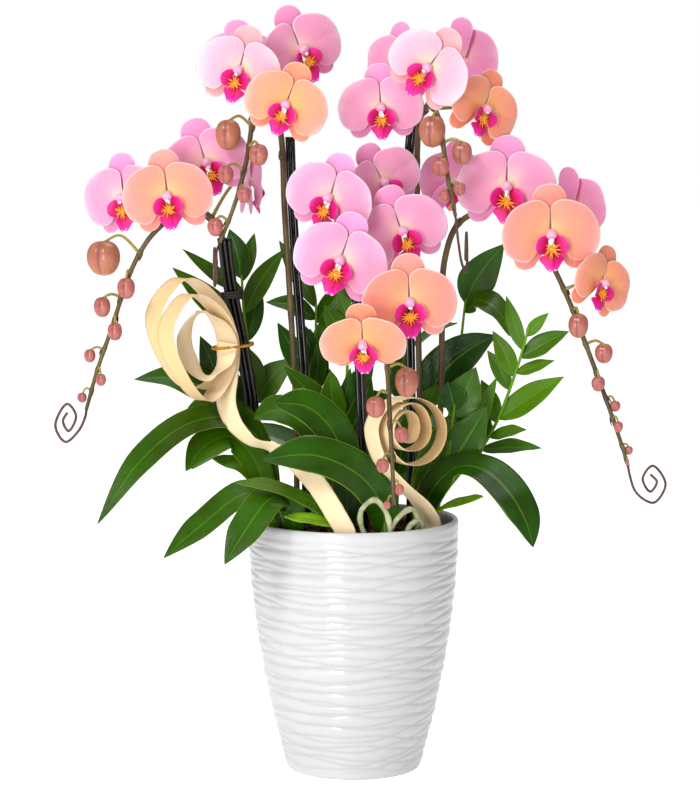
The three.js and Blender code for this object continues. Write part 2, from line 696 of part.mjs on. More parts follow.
const RIBBON_LEFT = [
  [[-6, -85, 218], 75], [[-7, -86, 236], 75], [[-17, -86, 256], 75], [[-36, -80, 285], 70],
    [[-54, -68, 302], 60],
  [[-76, -58, 313], 50], [[-96, -50, 320], 45], [[-111, -43, 334], 50], [[-119, -34, 352], 62],
  [[-118, -22, 378], 80], [[-117, -13, 406], 85], [[-130, -20, 445], 66], [[-159, -42, 470], 50],
  [[-184, -56, 440], 50], [[-178, -54, 404], 50], [[-152, -38, 368], 56], [[-124, -18, 376], 80],
  [[-117, -17, 408], 85], [[-130, -34, 441], 60], [[-152, -60, 456], 48], [[-172, -76, 425], 50],
  [[-159, -74, 383], 50], [[-138, -50, 357], 50], [[-122, -24, 378], 70], [[-118, -21, 406], 85],
  [[-127, -31, 429], 50], [[-142, -43, 438], 0], [[-156, -56, 415], -40], [[-150, -52, 392], -45],
  [[-136, -42, 379], -55], [[-122, -29, 388], -78], [[-118, -26.5, 409], -85],
];

// The right strip: its foot, then the left, top, right and bottom of each turn of a spiral that closes in.
const RIBBON_RIGHT_FOOT = [
  [[72, -30, 218], 80], [[73, -32, 236], 80], [[64, -50, 258], 66], [[43, -72, 282], 50],
  [[24, -82, 305], 48],
];
const SPIRAL_QUARTERS = [
  [16, -84, 332], [49, -66, 362], [82, -50, 330], [53, -66, 299],
  [27, -80, 330], [50, -68, 357], [67, -61, 332], [50, -70, 313],
  [31, -78, 331], [46, -69, 350], [56, -65, 335], [47, -70, 321],
  [37, -74, 331],
];

// Each quarter turn is a quarter of an ellipse. By turns it leaves upright and comes in level, and the reverse.
function spiralStops(quarters, turn) {
  const stops = [];
  for (let i = 0; i + 1 < quarters.length; i += 1) {
    const [p, q] = [quarters[i], quarters[i + 1]];
    [0, 0.5].forEach((share) => {
      const [c, d] = [Math.cos((share * Math.PI) / 2), Math.sin((share * Math.PI) / 2)];
      const x = i % 2 === 0 ? q[0] + (p[0] - q[0]) * c : p[0] + (q[0] - p[0]) * d;
      const z = i % 2 === 0 ? p[2] + (q[2] - p[2]) * d : q[2] + (p[2] - q[2]) * c;
      stops.push([[x, THREE.MathUtils.lerp(p[1], q[1], share), z], turn]);
    });
  }
  stops.push([quarters[quarters.length - 1], turn]);
  return stops;
}

const RIBBON_RIGHT = [...RIBBON_RIGHT_FOOT, ...spiralStops(SPIRAL_QUARTERS, 50)];

// The slot in the mix in which a strip's foot stands.
function ribbonSlot([[foot, turn], [above]]) {
  const across = new THREE.Vector3(Math.sin(degrees(turn)), -Math.cos(degrees(turn)), 0);
  const through = new THREE.Vector3(0, 0, 1).cross(across);
  const [half, thin] = [RIBBON_WIDTH, RIBBON_THICKNESS].map((size) => size / 2 + SLOT_MARGIN);
  const section = [[-half, -thin], [half, -thin], [half, thin], [-half, thin]];
  const rings = [vec(foot).setZ(foot[2] - 1), vec(above)].map((centre) => section.map(
    ([u, v]) => centre.clone().addScaledVector(across, u).addScaledVector(through, v),
  ));
  return loft(rings);
}

// Steps outward and upward round each tie's section: three turns of wire on each other, and one flat twist.
const BLACK_TIE_SECTION = [
  [-1.3, -4.5], [0.6, -4.9], [1.7, -3.2], [0.7, -1.6], [1.7, 0], [0.7, 1.6], [1.7, 3.2], [0.6, 4.9],
    [-1.3, 4.5],
];
const GOLD_TIE_SECTION = [[-0.7, -1.2], [0.8, -1.2], [0.8, 1.2], [-0.7, 1.2]];

// Ties: a black wire wound three times round the left canes, and a gold twist that holds the ribbon to them.
function loopTie(centre, reachX, reachY, tilt, section) {
  const points = [];
  const stops = 12;
  const squared = (share) => Math.sign(share) * Math.abs(share) ** 0.6;
  for (let i = 0; i < stops; i += 1) {
    const angle = (2 * Math.PI * (i + 0.5)) / stops;
    const [along, across] = [squared(Math.cos(angle)), squared(Math.sin(angle))];
    points.push(new THREE.Vector3(
      centre[0] + reachX * along, centre[1] + reachY * across, centre[2] + tilt * along,
    ));
  }
  return ringTube(points, section);
}

// A skin round a path that closes on itself. The section is a list of steps outward and upward.
function ringTube(points, section) {
  const count = points.length;
  const sides = section.length;
  const vertices = [];
  const triangles = [];
  points.forEach((centre, i) => {
    const tangent = points[(i + 1) % count].clone().sub(points[(i + count - 1) % count]).normalize();
    const outward = tangent.clone().cross(new THREE.Vector3(0, 0, 1)).normalize();
    const upward = outward.clone().cross(tangent).normalize();
    section.forEach(([out, up], k) => {
      vertices.push(centre.clone().addScaledVector(outward, out).addScaledVector(upward, up));
      const a = i * sides + k;
      const b = i * sides + ((k + 1) % sides);
      const c = ((i + 1) % count) * sides + k;
      const d = ((i + 1) % count) * sides + ((k + 1) % sides);
      triangles.push([a, d, b], [a, c, d]);
    });
  });
  return geometryOf(vertices, triangles);
}

// Orchid plants: the crown's place on the mix, and its leaves with their half-width and the way they face.
const ORCHID_PLANTS = [
  ['orchid_leaves_front_left', [-56, -56], [
    [[[-58, -54, 232], [-72, -60, 266], [-100, -78, 275], [-138, -98, 250], [-173, -116, 220]],
      15, [-0.2, -0.7, 0.7]],
    [[[-54, -60, 232], [-60, -72, 268], [-77, -92, 272], [-98, -112, 247], [-117, -127, 216]],
      16, [-0.1, -0.75, 0.65]],
  ]],
  ['orchid_leaves_left', [-76, -14], [
    [[[-78, -12, 234], [-88, -12, 300], [-106, -18, 335], [-150, -50, 338], [-195, -90, 307],
      [-233, -118, 251]], 14, [0, -0.75, 0.65]],
    [[[-77, -18, 237], [-92, -21, 296], [-114, -25, 321], [-138, -42, 315], [-156, -58, 292]],
      15, [0, -0.8, 0.6]],
    [[[-72, -15, 231], [-80, -12, 300], [-106, -11, 344], [-138, -24, 352], [-159, -34, 343]],
      8, [0.3, -0.8, 0.5]],
    [[[-80, -14, 262], [-104, -26, 292], [-132, -38, 301]], 10, [0, -0.6, 0.8]],
  ]],
  ['orchid_leaves_middle', [-6, -42], [
    [[[-6, -44, 234], [-8, -50, 296], [-20, -57, 332], [-44, -65, 354], [-75, -72, 357]],
      17, [0.1, -0.85, 0.5]],
    [[[-8, -40, 236.5], [-28, -26, 312], [-50, -28, 340], [-72, -30, 347], [-94, -34, 338]],
      15, [0, -0.8, 0.6]],
    [[[-9, -45, 231.5], [-28, -66, 256], [-52, -74, 272], [-80, -90, 284], [-108, -98, 287]],
      9, [0, -0.6, 0.8]],
    [[[-5, -46, 230], [-22, -74, 246], [-42, -84, 252], [-64, -88, 254]], 8, [0, -0.5, 0.85]],
  ]],
  ['orchid_leaf_front', [30, -50], [
    [[[30, -52, 234], [26, -60, 262], [6, -80, 292], [-36, -98, 313], [-84, -104, 309]],
      19, [0.1, -0.85, 0.5]],
  ]],
  ['orchid_leaves_right', [60, -8], [
    [[[62, -10, 234], [76, -26, 274], [98, -44, 296], [120, -64, 296], [143, -88, 278], [157, -106, 254],
      [163, -118, 230]], 18, [0.2, -0.7, 0.7]],
    [[[62, -12, 232], [84, -40, 256], [102, -56, 264], [120, -68, 270]], 8, [0, -0.5, 0.85]],
    [[[60, -8, 236], [66, -12, 276], [78, -20, 304], [88, -28, 318]], 9, [0, -0.9, 0.3]],
    [[[60, -6, 236], [73, -3, 290], [94, -2, 322], [116, -4, 338]], 15, [0, -0.85, 0.5]],
  ]],
  ['orchid_leaves_back', [6, 62], [
    [[[8, 62, 234], [24, 76, 290], [54, 104, 322], [92, 136, 306], [120, 158, 270]], 18, [0.2, 0.7, 0.7]],
    [[[2, 64, 234], [-12, 84, 296], [-30, 122, 330], [-44, 162, 318], [-54, 194, 284]],
      19, [-0.1, 0.7, 0.7]],
    [[[0, 60, 234], [-36, 70, 286], [-84, 84, 312], [-128, 96, 300], [-160, 104, 272]],
      17, [-0.3, 0.6, 0.75]],
    [[[10, 58, 234], [26, 50, 290], [28, 54, 334], [10, 62, 356]], 14, [0, -0.9, 0.4]],
  ]],
];

function crownPath([x, y]) {
  return [-24, 2, 16].map((rise) => new THREE.Vector3(x, y, mixHeight(x, y) + rise));
}

function makeOrchidPlant([, foot, leaves]) {
  const pieces = [tube(crownPath(foot), [4.5, 6, 4], 5)];
  leaves.forEach(([points, halfWidth, face]) => {
    pieces.push(blade(points, halfWidth, face, 5, ORCHID_LEAF_THICKNESS, 0.16, strapOutline));
  });
  return fused(pieces);
}

// Leafy sprigs: the stem's route and radius, then each leaflet's route, half-width and the way it faces.
const SPRIGS = [
  ['sprig_right_tall', [[62, 42, 186], [78, 46, 266], [98, 50, 360], [108, 50, 445]], [
    [[[108, 50, 440], [121, 46, 467], [144, 40, 498]], 14, [0.3, -0.9, 0.2]],
    [[[106, 50, 430], [121, 40, 446], [140, 30, 434], [149, 24, 410]], 12, [0.2, -0.6, 0.75]],
    [[[95, 49, 350], [78, 42, 362], [94, 36, 385], [116, 34, 401], [137, 32, 411]], 17, [-0.2, -0.9, 0.35]],
  ]],
  ['sprig_right_inner', [[78, -14, 186], [80, -14, 250], [88, -14, 293], [93, -14, 330], [96, -12, 356]], [
    [[[88, -14, 286], [104, -20, 313], [125, -26, 349]], 15, [0.1, -0.9, 0.4]],
    [[[95, -13, 336], [104, -15, 359], [115, -16, 385]], 13, [0.1, -0.95, 0.2]],
    [[[96, -13, 344], [92, -18, 357], [88, -22, 372]], 10, [-0.1, -0.9, 0.3]],
  ]],
  ['sprig_right_outer', [[68, 26, 186], [80, 25, 246], [104, 20, 282], [122, 15, 304], [137, 9, 332],
    [151, 1, 371], [160, -6, 402],
    [165, -10, 423]], [
    [[[158, -5, 399], [151, -2, 426], [144, 2, 451]], 5.5, [-0.2, -0.9, 0.2]],
    [[[164, -9, 412], [172, -12, 425], [183, -16, 436]], 4.5, [0.1, -0.9, 0.4]],
    [[[157, -4, 392], [180, -12, 408], [202, -20, 419]], 8, [0.1, -0.8, 0.55]],
    [[[153, -1, 377], [171, -8, 385], [189, -14, 391]], 6, [0, -0.7, 0.7]],
    [[[153, 0, 374], [143, 6, 396], [132, 12, 417]], 7, [-0.1, -0.9, 0.3]],
    [[[147, 3, 362], [138, 9, 382], [127, 16, 398]], 6, [-0.1, -0.9, 0.3]],
    [[[139, 8, 335], [167, -4, 356], [198, -16, 376]], 10, [0.1, -0.8, 0.55]],
    [[[137, 9, 330], [130, 18, 350], [122, 26, 369]], 7, [0, -0.9, 0.3]],
    [[[124, 14, 308], [122, 22, 327], [122, 28, 350]], 8, [0, -0.9, 0.2]],
    [[[129, 13, 318], [147, 4, 322], [164, -2, 324]], 7, [0, -0.6, 0.8]],
    [[[122, 16, 304], [150, 4, 308], [178, -8, 307]], 8, [0, -0.6, 0.8]],
    [[[108, 20, 290], [121, 10, 338], [136, 4, 374]], 7, [0.1, -0.95, 0.2]],
  ]],
  ['sprig_left_tall', [[-72, 36, 186], [-84, 36, 262], [-95, 36, 349], [-101, 36, 400], [-105, 37, 432],
    [-107, 37, 468]], [
    [[[-106, 37, 452], [-132, 32, 470], [-163, 24, 494]], 6, [-0.1, -0.8, 0.55]],
    [[[-103, 36, 412], [-137, 26, 445], [-172, 14, 477]], 10, [-0.1, -0.85, 0.5]],
    [[[-107, 37, 464], [-112, 42, 490], [-119, 46, 512]], 9, [-0.1, -0.95, 0.2]],
    [[[-106, 38, 462], [-100, 44, 488], [-95, 50, 508]], 5.5, [0.1, -0.95, 0.2]],
    [[[-104, 37, 432], [-88, 42, 464], [-66, 48, 493]], 8, [0.2, -0.9, 0.3]],
    [[[-102, 37, 404], [-95, 44, 433], [-90, 50, 461]], 7, [0.1, -0.95, 0.2]],
    [[[-94, 36, 346], [-80, 42, 369], [-56, 48, 388]], 11, [0.1, -0.8, 0.6]],
    [[[-98, 37, 376], [-116, 34, 392], [-132, 30, 398]], 8, [-0.1, -0.7, 0.7]],
    [[[-93, 36, 336], [-114, 20, 354], [-142, 6, 366], [-174, -4, 375], [-207, -14, 373]],
      15, [0, -0.8, 0.6]],
    [[[-94, 36, 350], [-96, 34, 378], [-103, 33, 401]], 8, [-0.1, -0.95, 0.2]],
    [[[-90, 36, 330], [-128, 22, 372], [-146, 14, 412]], 12, [-0.1, -0.95, 0.2]],
  ]],
  ['sprig_middle_left', [[-46, 38, 186], [-45, 44, 270], [-41, 48, 340], [-37, 50, 386], [-36, 50, 440]], [
    [[[-36, 50, 426], [-59, 44, 440], [-84, 38, 442]], 8, [-0.1, -0.8, 0.6]],
    [[[-36, 50, 438], [-56, 58, 474], [-72, 64, 500]], 7, [-0.2, -0.9, 0.3]],
    [[[-38, 49, 366], [-57, 42, 394], [-73, 36, 423]], 9, [-0.2, -0.9, 0.3]],
    [[[-39, 49, 352], [-34, 50, 382], [-42, 54, 416]], 8, [0.2, -0.9, 0.2]],
    [[[-36, 51, 420], [-18, 56, 444], [0, 60, 470]], 8, [0.2, -0.9, 0.3]],
    [[[-39, 46, 378], [-43, 44, 400], [-52, 42, 424]], 8, [-0.1, -0.95, 0.2]],
    [[[-37, 50, 395], [-26, 52, 414], [-20, 56, 437]], 8, [0.1, -0.95, 0.2]],
    [[[-40, 46, 355], [-34, 42, 380], [-36, 40, 403]], 6, [0.1, -0.95, 0.2]],
  ]],
  ['sprig_middle_front', [[-22, -6, 186], [-20, -5, 262], [-18, -4, 330], [-19, -3, 352]], [
    [[[-18, -5, 322], [-38, -14, 356], [-66, -24, 387]], 10, [-0.1, -0.85, 0.5]],
    [[[-18, -6, 324], [-20, -14, 352], [-22, -20, 382]], 10, [0.1, -0.95, 0.2]],
    [[[-18, -4, 330], [-8, -9, 356], [-3, -12, 384]], 6, [0.2, -0.9, 0.2]],
  ]],
  ['sprig_middle_back', [[-14, 34, 186], [-10, 38, 290], [-6, 42, 380], [-4, 44, 444]], [
    [[[-4, 44, 440], [-2, 46, 456], [-4, 50, 474]], 6, [0, -0.95, 0.2]],
    [[[-5, 43, 408], [-18, 38, 424], [-28, 32, 440]], 7, [-0.1, -0.9, 0.3]],
    [[[-6, 42, 388], [8, 38, 414], [20, 32, 440]], 9, [0.1, -0.9, 0.3]],
    [[[-8, 40, 340], [6, 36, 366], [20, 30, 392]], 8, [0.2, -0.9, 0.3]],
    [[[-5, 44, 420], [6, 58, 440], [14, 74, 450]], 8, [0.1, 0.6, 0.75]],
    [[[-8, 41, 350], [-24, 60, 372], [-34, 78, 384]], 9, [-0.1, 0.6, 0.75]],
    [[[-5, 43, 401], [-7, 42, 428], [-15, 40, 457]], 8, [-0.1, -0.95, 0.2]],
    [[[-8, 40, 323], [-3, 34, 350], [0, 30, 377]], 7, [0.1, -0.95, 0.2]],
    [[[-9, 38, 309], [8, 26, 341], [17, 20, 374]], 8, [0.1, -0.9, 0.3]],
    [[[-11, 38, 280], [-1, 26, 308], [12, 16, 335]], 9, [0.1, -0.9, 0.3]],
    [[[-11, 37, 272], [-23, 28, 300], [-24, 22, 330]], 8, [-0.1, -0.9, 0.3]],
  ]],
  ['sprig_right_back', [[40, 52, 186], [44, 60, 280], [52, 70, 360], [58, 76, 420]], [
    [[[58, 76, 416], [66, 84, 444], [78, 90, 470]], 9, [0, 0.9, 0.4]],
    [[[56, 74, 396], [78, 84, 412], [102, 92, 418]], 9, [0.1, 0.5, 0.8]],
    [[[52, 70, 362], [34, 88, 384], [16, 100, 396]], 10, [-0.1, 0.6, 0.75]],
    [[[49, 66, 330], [74, 84, 346], [100, 98, 346]], 10, [0.1, 0.5, 0.8]],
    [[[57, 75, 406], [44, 64, 432], [36, 56, 456]], 8, [-0.2, -0.9, 0.3]],
    [[[50, 68, 345], [46, 50, 372], [53, 46, 407]], 11, [0, -0.95, 0.2]],
    [[[47, 64, 307], [66, 44, 339], [86, 36, 366]], 9, [0.1, -0.9, 0.3]],
    [[[45, 60, 278], [62, 44, 301], [83, 36, 323]], 11, [0.1, -0.9, 0.3]],
    [[[45, 60, 268], [45, 40, 298], [36, 30, 324]], 8, [-0.1, -0.9, 0.3]],
    [[[45, 58, 264], [55, 44, 282], [64, 37, 299]], 8, [0, -0.8, 0.5]],
  ]],
];

// The place on a stem's straight stretches that lies nearest to a point.
function nearestOnPath(path, point) {
  let best = path[0];
  for (let i = 0; i + 1 < path.length; i += 1) {
    const stretch = new THREE.Line3(path[i], path[i + 1]);
    const spot = stretch.closestPointToPoint(point, true, new THREE.Vector3());
    if (spot.distanceTo(point) < best.distanceTo(point)) {
      best = spot;
    }
  }
  return best;
}

function makeSprig([, route, leaflets]) {
  const count = route.length;
  const path = curveThrough(route).getPoints(count);
  const pieces = [tube(path, path.map((_, i) => THREE.MathUtils.lerp(2.3, 1.2, i / count)), 4)];
  leaflets.forEach(([[root, ...rest], halfWidth, face]) => {
    const sunk = nearestOnPath(path, vec(root)).toArray();
    pieces.push(blade([sunk, ...rest], halfWidth, face, 2, SPRIG_LEAF_THICKNESS, 0.2, leafletOutline));
  });
  return fused(pieces);
}

// Air roots that arch out of the mix at the front and dive into it again.
const ROOTS = [
  [[14, -80, 225], [6, -82, 250], [8, -81, 260], [19, -79, 268], [28, -80, 260], [33, -81, 246],
    [34, -81, 225]],
  [[33, -80, 240], [42, -76, 252], [52, -70, 258], [58, -62, 252], [58, -58, 225]],
  [[46, -72, 225], [52, -70, 242], [60, -62, 246], [64, -56, 240], [64, -54, 225]],
];

// The holes in which a root's two ends stand.
function rootSockets(points) {
  const path = curveThrough(points).getPoints(6);
  return [path, [...path].reverse()].filter(([end]) => end.z < MIX_EDGE_HEIGHT).map(([end, next]) => {
    const foot = end.clone().setZ(end.z - 2);
    return tube([foot, end, next], ROOT_RADIUS + SOCKET_MARGIN, 6);
  });
}

// Every piece, with its colour, roughness and metalness.
const FINISHES = {
  glaze: { color: '#f4f5f6', roughness: 0.16, metalness: 0 },
  mix: { color: '#4a2f1f', roughness: 0.95, metalness: 0 },
  root: { color: '#b4ba8e', roughness: 0.7, metalness: 0 },
  stem: { color: '#6f5f35', roughness: 0.55, metalness: 0 },
  cane: { color: '#141214', roughness: 0.2, metalness: 0 },
  wire: { color: '#5b403a', roughness: 0.45, metalness: 0.3 },
  ribbon: { color: '#f5d5a0', roughness: 0.7, metalness: 0 },
  black: { color: '#17171a', roughness: 0.4, metalness: 0 },
  gold: { color: '#c88a1e', roughness: 0.35, metalness: 0.6 },
  leaf: { color: '#2f7a1c', roughness: 0.35, metalness: 0 },
  sprig: { color: '#3b8a1e', roughness: 0.35, metalness: 0 },
  pink: { color: '#f3a6da', roughness: 0.6, metalness: 0 },
  blush: { color: '#f9bcb4', roughness: 0.6, metalness: 0 },
  peach: { color: '#fbb492', roughness: 0.6, metalness: 0 },
  orange: { color: '#faa474', roughness: 0.6, metalness: 0 },
};

const plant = new THREE.Group();

function place(name, geometry, finish) {
  const mesh = new THREE.Mesh(geometry, new THREE.MeshStandardMaterial(FINISHES[finish]));
  mesh.name = name;
  plant.add(mesh);
  return mesh;
}

const sockets = [];
Object.keys(SPIKES).forEach((key) => {
  place(`spike_${key}`, makeSpike(key), 'stem');
  sockets.push(socketAlong(curveThrough(SPIKES[key]).getPoints(STEM_STEPS), STEM_RADIUS));
});
Object.keys(CANES).forEach((key) => {
  place(`canes_${key}`, makeCanes(key), 'cane');
  sockets.push(canesSocket(key));
});
Object.keys(WIRE_ENDS).forEach((key) => {
  place(`wire_${key}`, makeWire(key), 'wire');
});
sockets.push(socketAlong(wirePath('d'), WIRE_RADIUS));

place('ribbon_left', ribbon(RIBBON_LEFT, 54), 'ribbon');
place('ribbon_right', ribbon(RIBBON_RIGHT, 52), 'ribbon');
sockets.push(ribbonSlot(RIBBON_LEFT), ribbonSlot(RIBBON_RIGHT));

ORCHID_PLANTS.forEach((entry) => {
  place(entry[0], makeOrchidPlant(entry), 'leaf');
  sockets.push(socketAlong(crownPath(entry[1]), 7.2));
});
SPRIGS.forEach((entry) => {
  place(entry[0], makeSprig(entry), 'sprig');
  sockets.push(socketAlong(curveThrough(entry[1]).getPoints(entry[1].length), 2.3));
});

BLOOMS.forEach(([name, at, spread, turn, nod, roll, finish]) => {
  const geometry = makeBloom(spread).rotateZ(degrees(-roll));
  const mesh = place(name, geometry, finish);
  mesh.position.set(...at);
  mesh.rotation.set(degrees(90 + nod), 0, degrees(turn), 'ZXY');
});

const airRoots = ROOTS.map((points) => tube(curveThrough(points).getPoints(6), ROOT_RADIUS, 5));
place('air_roots', fused(airRoots), 'root');
ROOTS.forEach((points) => sockets.push(...rootSockets(points)));

place('black_tie', loopTie([-114.4, -10.2, 452], 9.4, 5.0, 0.6, BLACK_TIE_SECTION), 'black');
place('gold_tie', loopTie([-113.4, -17.4, 405], 18.6, 17, 2, GOLD_TIE_SECTION), 'gold');

place('planter', makePot(), 'glaze');
place('potting_mix', makeMix(sockets), 'mix');

export default plant;
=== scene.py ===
"""Looks of the potted moth orchid: petals, leaves, stems, shavings, bark and the glazed planter with its waves.

Every piece is a surface worked out on a grid of numbers, in metres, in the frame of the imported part.
The plant faces -Y, +X is to the right of somebody who looks at it, and +Z is up.
"""

import math

import bpy
import numpy as np
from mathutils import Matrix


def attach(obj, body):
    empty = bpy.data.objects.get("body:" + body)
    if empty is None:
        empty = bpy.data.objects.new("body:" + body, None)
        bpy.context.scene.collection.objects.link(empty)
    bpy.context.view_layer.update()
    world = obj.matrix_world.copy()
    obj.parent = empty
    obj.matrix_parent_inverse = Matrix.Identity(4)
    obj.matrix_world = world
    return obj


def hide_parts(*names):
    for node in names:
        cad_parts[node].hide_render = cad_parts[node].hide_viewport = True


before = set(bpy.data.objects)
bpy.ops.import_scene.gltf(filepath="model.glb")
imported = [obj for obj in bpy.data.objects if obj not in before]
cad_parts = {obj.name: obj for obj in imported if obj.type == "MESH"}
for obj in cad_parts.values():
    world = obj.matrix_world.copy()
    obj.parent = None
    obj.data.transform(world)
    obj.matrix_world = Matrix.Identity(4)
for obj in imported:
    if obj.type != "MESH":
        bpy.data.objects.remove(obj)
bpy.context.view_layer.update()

MM = 0.001
chance = np.random.default_rng(24)

# Sizes, in mm.
RIM_RADIUS = 100
FOOT_RADIUS = 63.5
POT_HEIGHT = 240
POT_WALL = 6
MIX_EDGE = 226
CREASES = 44
STEM_RADIUS, STEM_TIP_RADIUS = 2.9, 1.7
CANE_RADIUS, CANE_SPACING = 2.25, 4.5
WIRE_RADIUS = 1.2
ROOT_RADIUS = 2.55
SHAVING_WIDTH, SHAVING_THICKNESS = 20, 0.64
ORCHID_LEAF_THICKNESS, SPRIG_LEAF_THICKNESS = 2.2, 1.2
STALK_GAP = 0.3

# Shares of a flower's spread.
BLADE_THICKNESS = 0.012
LIP_SIZE = 1.08

# The right coil's strip turns by this angle at its front, and by a little less for each mm behind it.
COIL_FRONT = 84
COIL_TURN, TURN_PER_MM = 40, 0.45


# Curves and frames.


def unit(vectors):
    """Vectors along the last axis, each divided by its own length."""
    return vectors / np.maximum(np.linalg.norm(vectors, axis=-1, keepdims=True), 1e-12)


def spline(points, shares):
    """Smooth curve through points: on each stretch a cubic whose end slopes weigh the neighbouring
    stretches by the square root of their length."""
    places = np.asarray(points, float)
    last = len(places) - 1
    ends = np.vstack([2 * places[0] - places[1], places, 2 * places[-1] - places[-2]])
    place = np.clip(np.asarray(shares, float), 0, 1) * last
    low = np.minimum(place.astype(int), last - 1)
    w = (place - low)[:, None]
    a, b, c, d = ends[low], ends[low + 1], ends[low + 2], ends[low + 3]
    ab, bc, cd = (np.linalg.norm(v, axis=1, keepdims=True).clip(1e-9) ** 0.5 for v in (b - a, c - b, d - c))
    lead = ((b - a) / ab - (c - a) / (ab + bc) + (c - b) / bc) * bc
    tail = ((c - b) / bc - (d - b) / (bc + cd) + (d - c) / cd) * bc
    return b + lead * w + (3 * (c - b) - 2 * lead - tail) * w**2 + (2 * (b - c) + lead + tail) * w**3


def slope(points, shares):
    """Direction of that curve: the difference of two places a thousandth of its run apart."""
    shares = np.asarray(shares, float)
    return unit(spline(points, shares + 0.001) - spline(points, shares - 0.001))


def closed_outline(points, count):
    """Smooth closed outline through points: a cubic on each stretch, then evened out by its length."""
    p = np.asarray(points, float)
    t = np.arange(1000) / 1000 * len(p)
    i = t.astype(int)
    w = (t - i)[:, None]
    a, b, c, d = (p[(i + k) % len(p)] for k in (-1, 0, 1, 2))
    curve = 0.5 * (2 * b + (c - a) * w + (2 * a - 5 * b + 4 * c - d) * w**2 + (3 * b - a - 3 * c + d) * w**3)
    loop = np.vstack([curve, curve[:1]])
    run = np.concatenate([[0], np.cumsum(np.linalg.norm(np.diff(loop, axis=0), axis=1))])
    stops = np.arange(count) / count * run[-1]
    return np.stack([np.interp(stops, run, loop[:, k]) for k in (0, 1)], -1)


def run_length(path):
    """Length of a path from its start to each of its points."""
    return np.concatenate([[0], np.cumsum(np.linalg.norm(np.diff(path, axis=0), axis=1))])


def smooth(value, low, high):
    """Share from 0 at low to 1 at high, three squares less two cubes of the plain share."""
    share = np.clip((value - low) / (high - low), 0, 1)
    return share * share * (3 - 2 * share)


# Skins: grids of points with marks that the materials read.


def skin(rings, marks=None, finish=0, closed=False, tips=(None, None)):
    """Skin over rings of points, row after row: four-sided faces between neighbours, and a fan to a point at
    each end. With closed, the last ring joins the first instead."""
    rows, sides = rings.shape[:2]
    index = np.arange(rows * sides).reshape(rows, sides)
    beside = np.roll(index, -1, axis=1)
    quads = np.stack([index, beside, np.roll(beside, -1, axis=0), np.roll(index, -1, axis=0)], -1)
    points = rings.reshape(-1, 3)
    values = {k: np.broadcast_to(v, (rows, sides)).ravel() for k, v in (marks or {}).items()}
    fans = np.zeros((0, 3), int)
    if not closed:
        quads = quads[:-1]
        ends = [rings[row].mean(0) if tip is None else tip for row, tip in zip((0, -1), tips)]
        points = np.vstack([points, ends])
        first, last = np.full(sides, rows * sides), np.full(sides, rows * sides + 1)
        fans = np.vstack([
            np.stack([first, beside[0], index[0]], -1),
            np.stack([last, index[-1], beside[-1]], -1),
        ])
        values = {k: np.append(v, [v[:sides].mean(), v[-sides:].mean()]) for k, v in values.items()}
    return {"points": points, "quads": quads.reshape(-1, 4), "fans": fans, "marks": values, "finish": finish}


def make_piece(name, skins, finishes, slot, *nodes):
    """One mesh from several skins: their points, faces and marks in a row, each skin with its own finish."""
    starts = np.cumsum([0] + [len(s["points"]) for s in skins])
    points = np.vstack([s["points"] for s in skins]) * MM
    quads = np.vstack([s["quads"] + start for s, start in zip(skins, starts)])
    fans = np.vstack([s["fans"] + start for s, start in zip(skins, starts)])
    mesh = bpy.data.meshes.new(name)
    mesh.vertices.add(len(points))
    mesh.vertices.foreach_set("co", points.astype(np.float32).ravel())
    mesh.loops.add(quads.size + fans.size)
    mesh.loops.foreach_set("vertex_index", np.concatenate([quads.ravel(), fans.ravel()]).astype(np.int32))
    mesh.polygons.add(len(quads) + len(fans))
    corners = np.concatenate([np.full(len(quads), 4), np.full(len(fans), 3)])
    mesh.polygons.foreach_set("loop_start", (np.cumsum(corners) - corners).astype(np.int32))
    which = [np.full(len(s[kind]), s["finish"]) for kind in ("quads", "fans") for s in skins]
    mesh.polygons.foreach_set("material_index", np.concatenate(which).astype(np.int32))
    for mark in sorted({k for s in skins for k in s["marks"]}):
        values = np.concatenate([s["marks"].get(mark, np.zeros(len(s["points"]))) for s in skins])
        mesh.attributes.new(mark, "FLOAT", "POINT").data.foreach_set("value", values.astype(np.float32))
    mesh.update(calc_edges=True)
    mesh.shade_smooth()
    for finish in finishes:
        mesh.materials.append(finish)
    piece = bpy.data.objects.new(name, mesh)
    bpy.context.scene.collection.objects.link(piece)
    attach(piece, "root")
    if nodes:
        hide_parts(*nodes)


def tube(path, radii, sides, finish=0, closed=False, **marks):
    """Round skin along a path: at each point a circle in the plane across the path, drawn from a side direction
    that lies across both the path and the path's flattest direction."""
    path = np.asarray(path, float)
    radii = np.broadcast_to(radii, len(path))
    if closed:
        along = unit(np.roll(path, -1, axis=0) - np.roll(path, 1, axis=0))
    else:
        along = unit(np.gradient(path, axis=0))
    flattest = np.linalg.svd(path - path.mean(0))[2][-1]
    side = unit(np.cross(flattest, along))
    up = np.cross(along, side)
    angle = 2 * np.pi * np.arange(sides) / sides
    offset = np.cos(angle)[None, :, None] * side[:, None] + np.sin(angle)[None, :, None] * up[:, None]
    rings = path[:, None] + radii[:, None, None] * offset
    marks = {"run": run_length(path)[:, None] * MM, **marks}
    return skin(rings, marks, finish, closed)


def ball(centre, radii, rows=8, sides=12, finish=0, **marks):
    """Egg-shaped skin: circles whose radius is the sine, and whose height is minus the cosine, of the angle
    from the bottom."""
    angle = np.linspace(0, np.pi, rows + 2)[1:-1]
    turn = 2 * np.pi * np.arange(sides) / sides
    rings = np.stack([
        np.sin(angle)[:, None] * np.cos(turn),
        np.sin(angle)[:, None] * np.sin(turn),
        np.broadcast_to(-np.cos(angle)[:, None], (rows, sides)),
    ], -1) * np.asarray(radii) + np.asarray(centre)
    reach = np.array([0, 0, radii[2]])
    return skin(rings, marks, finish, tips=(np.asarray(centre) - reach, np.asarray(centre) + reach))


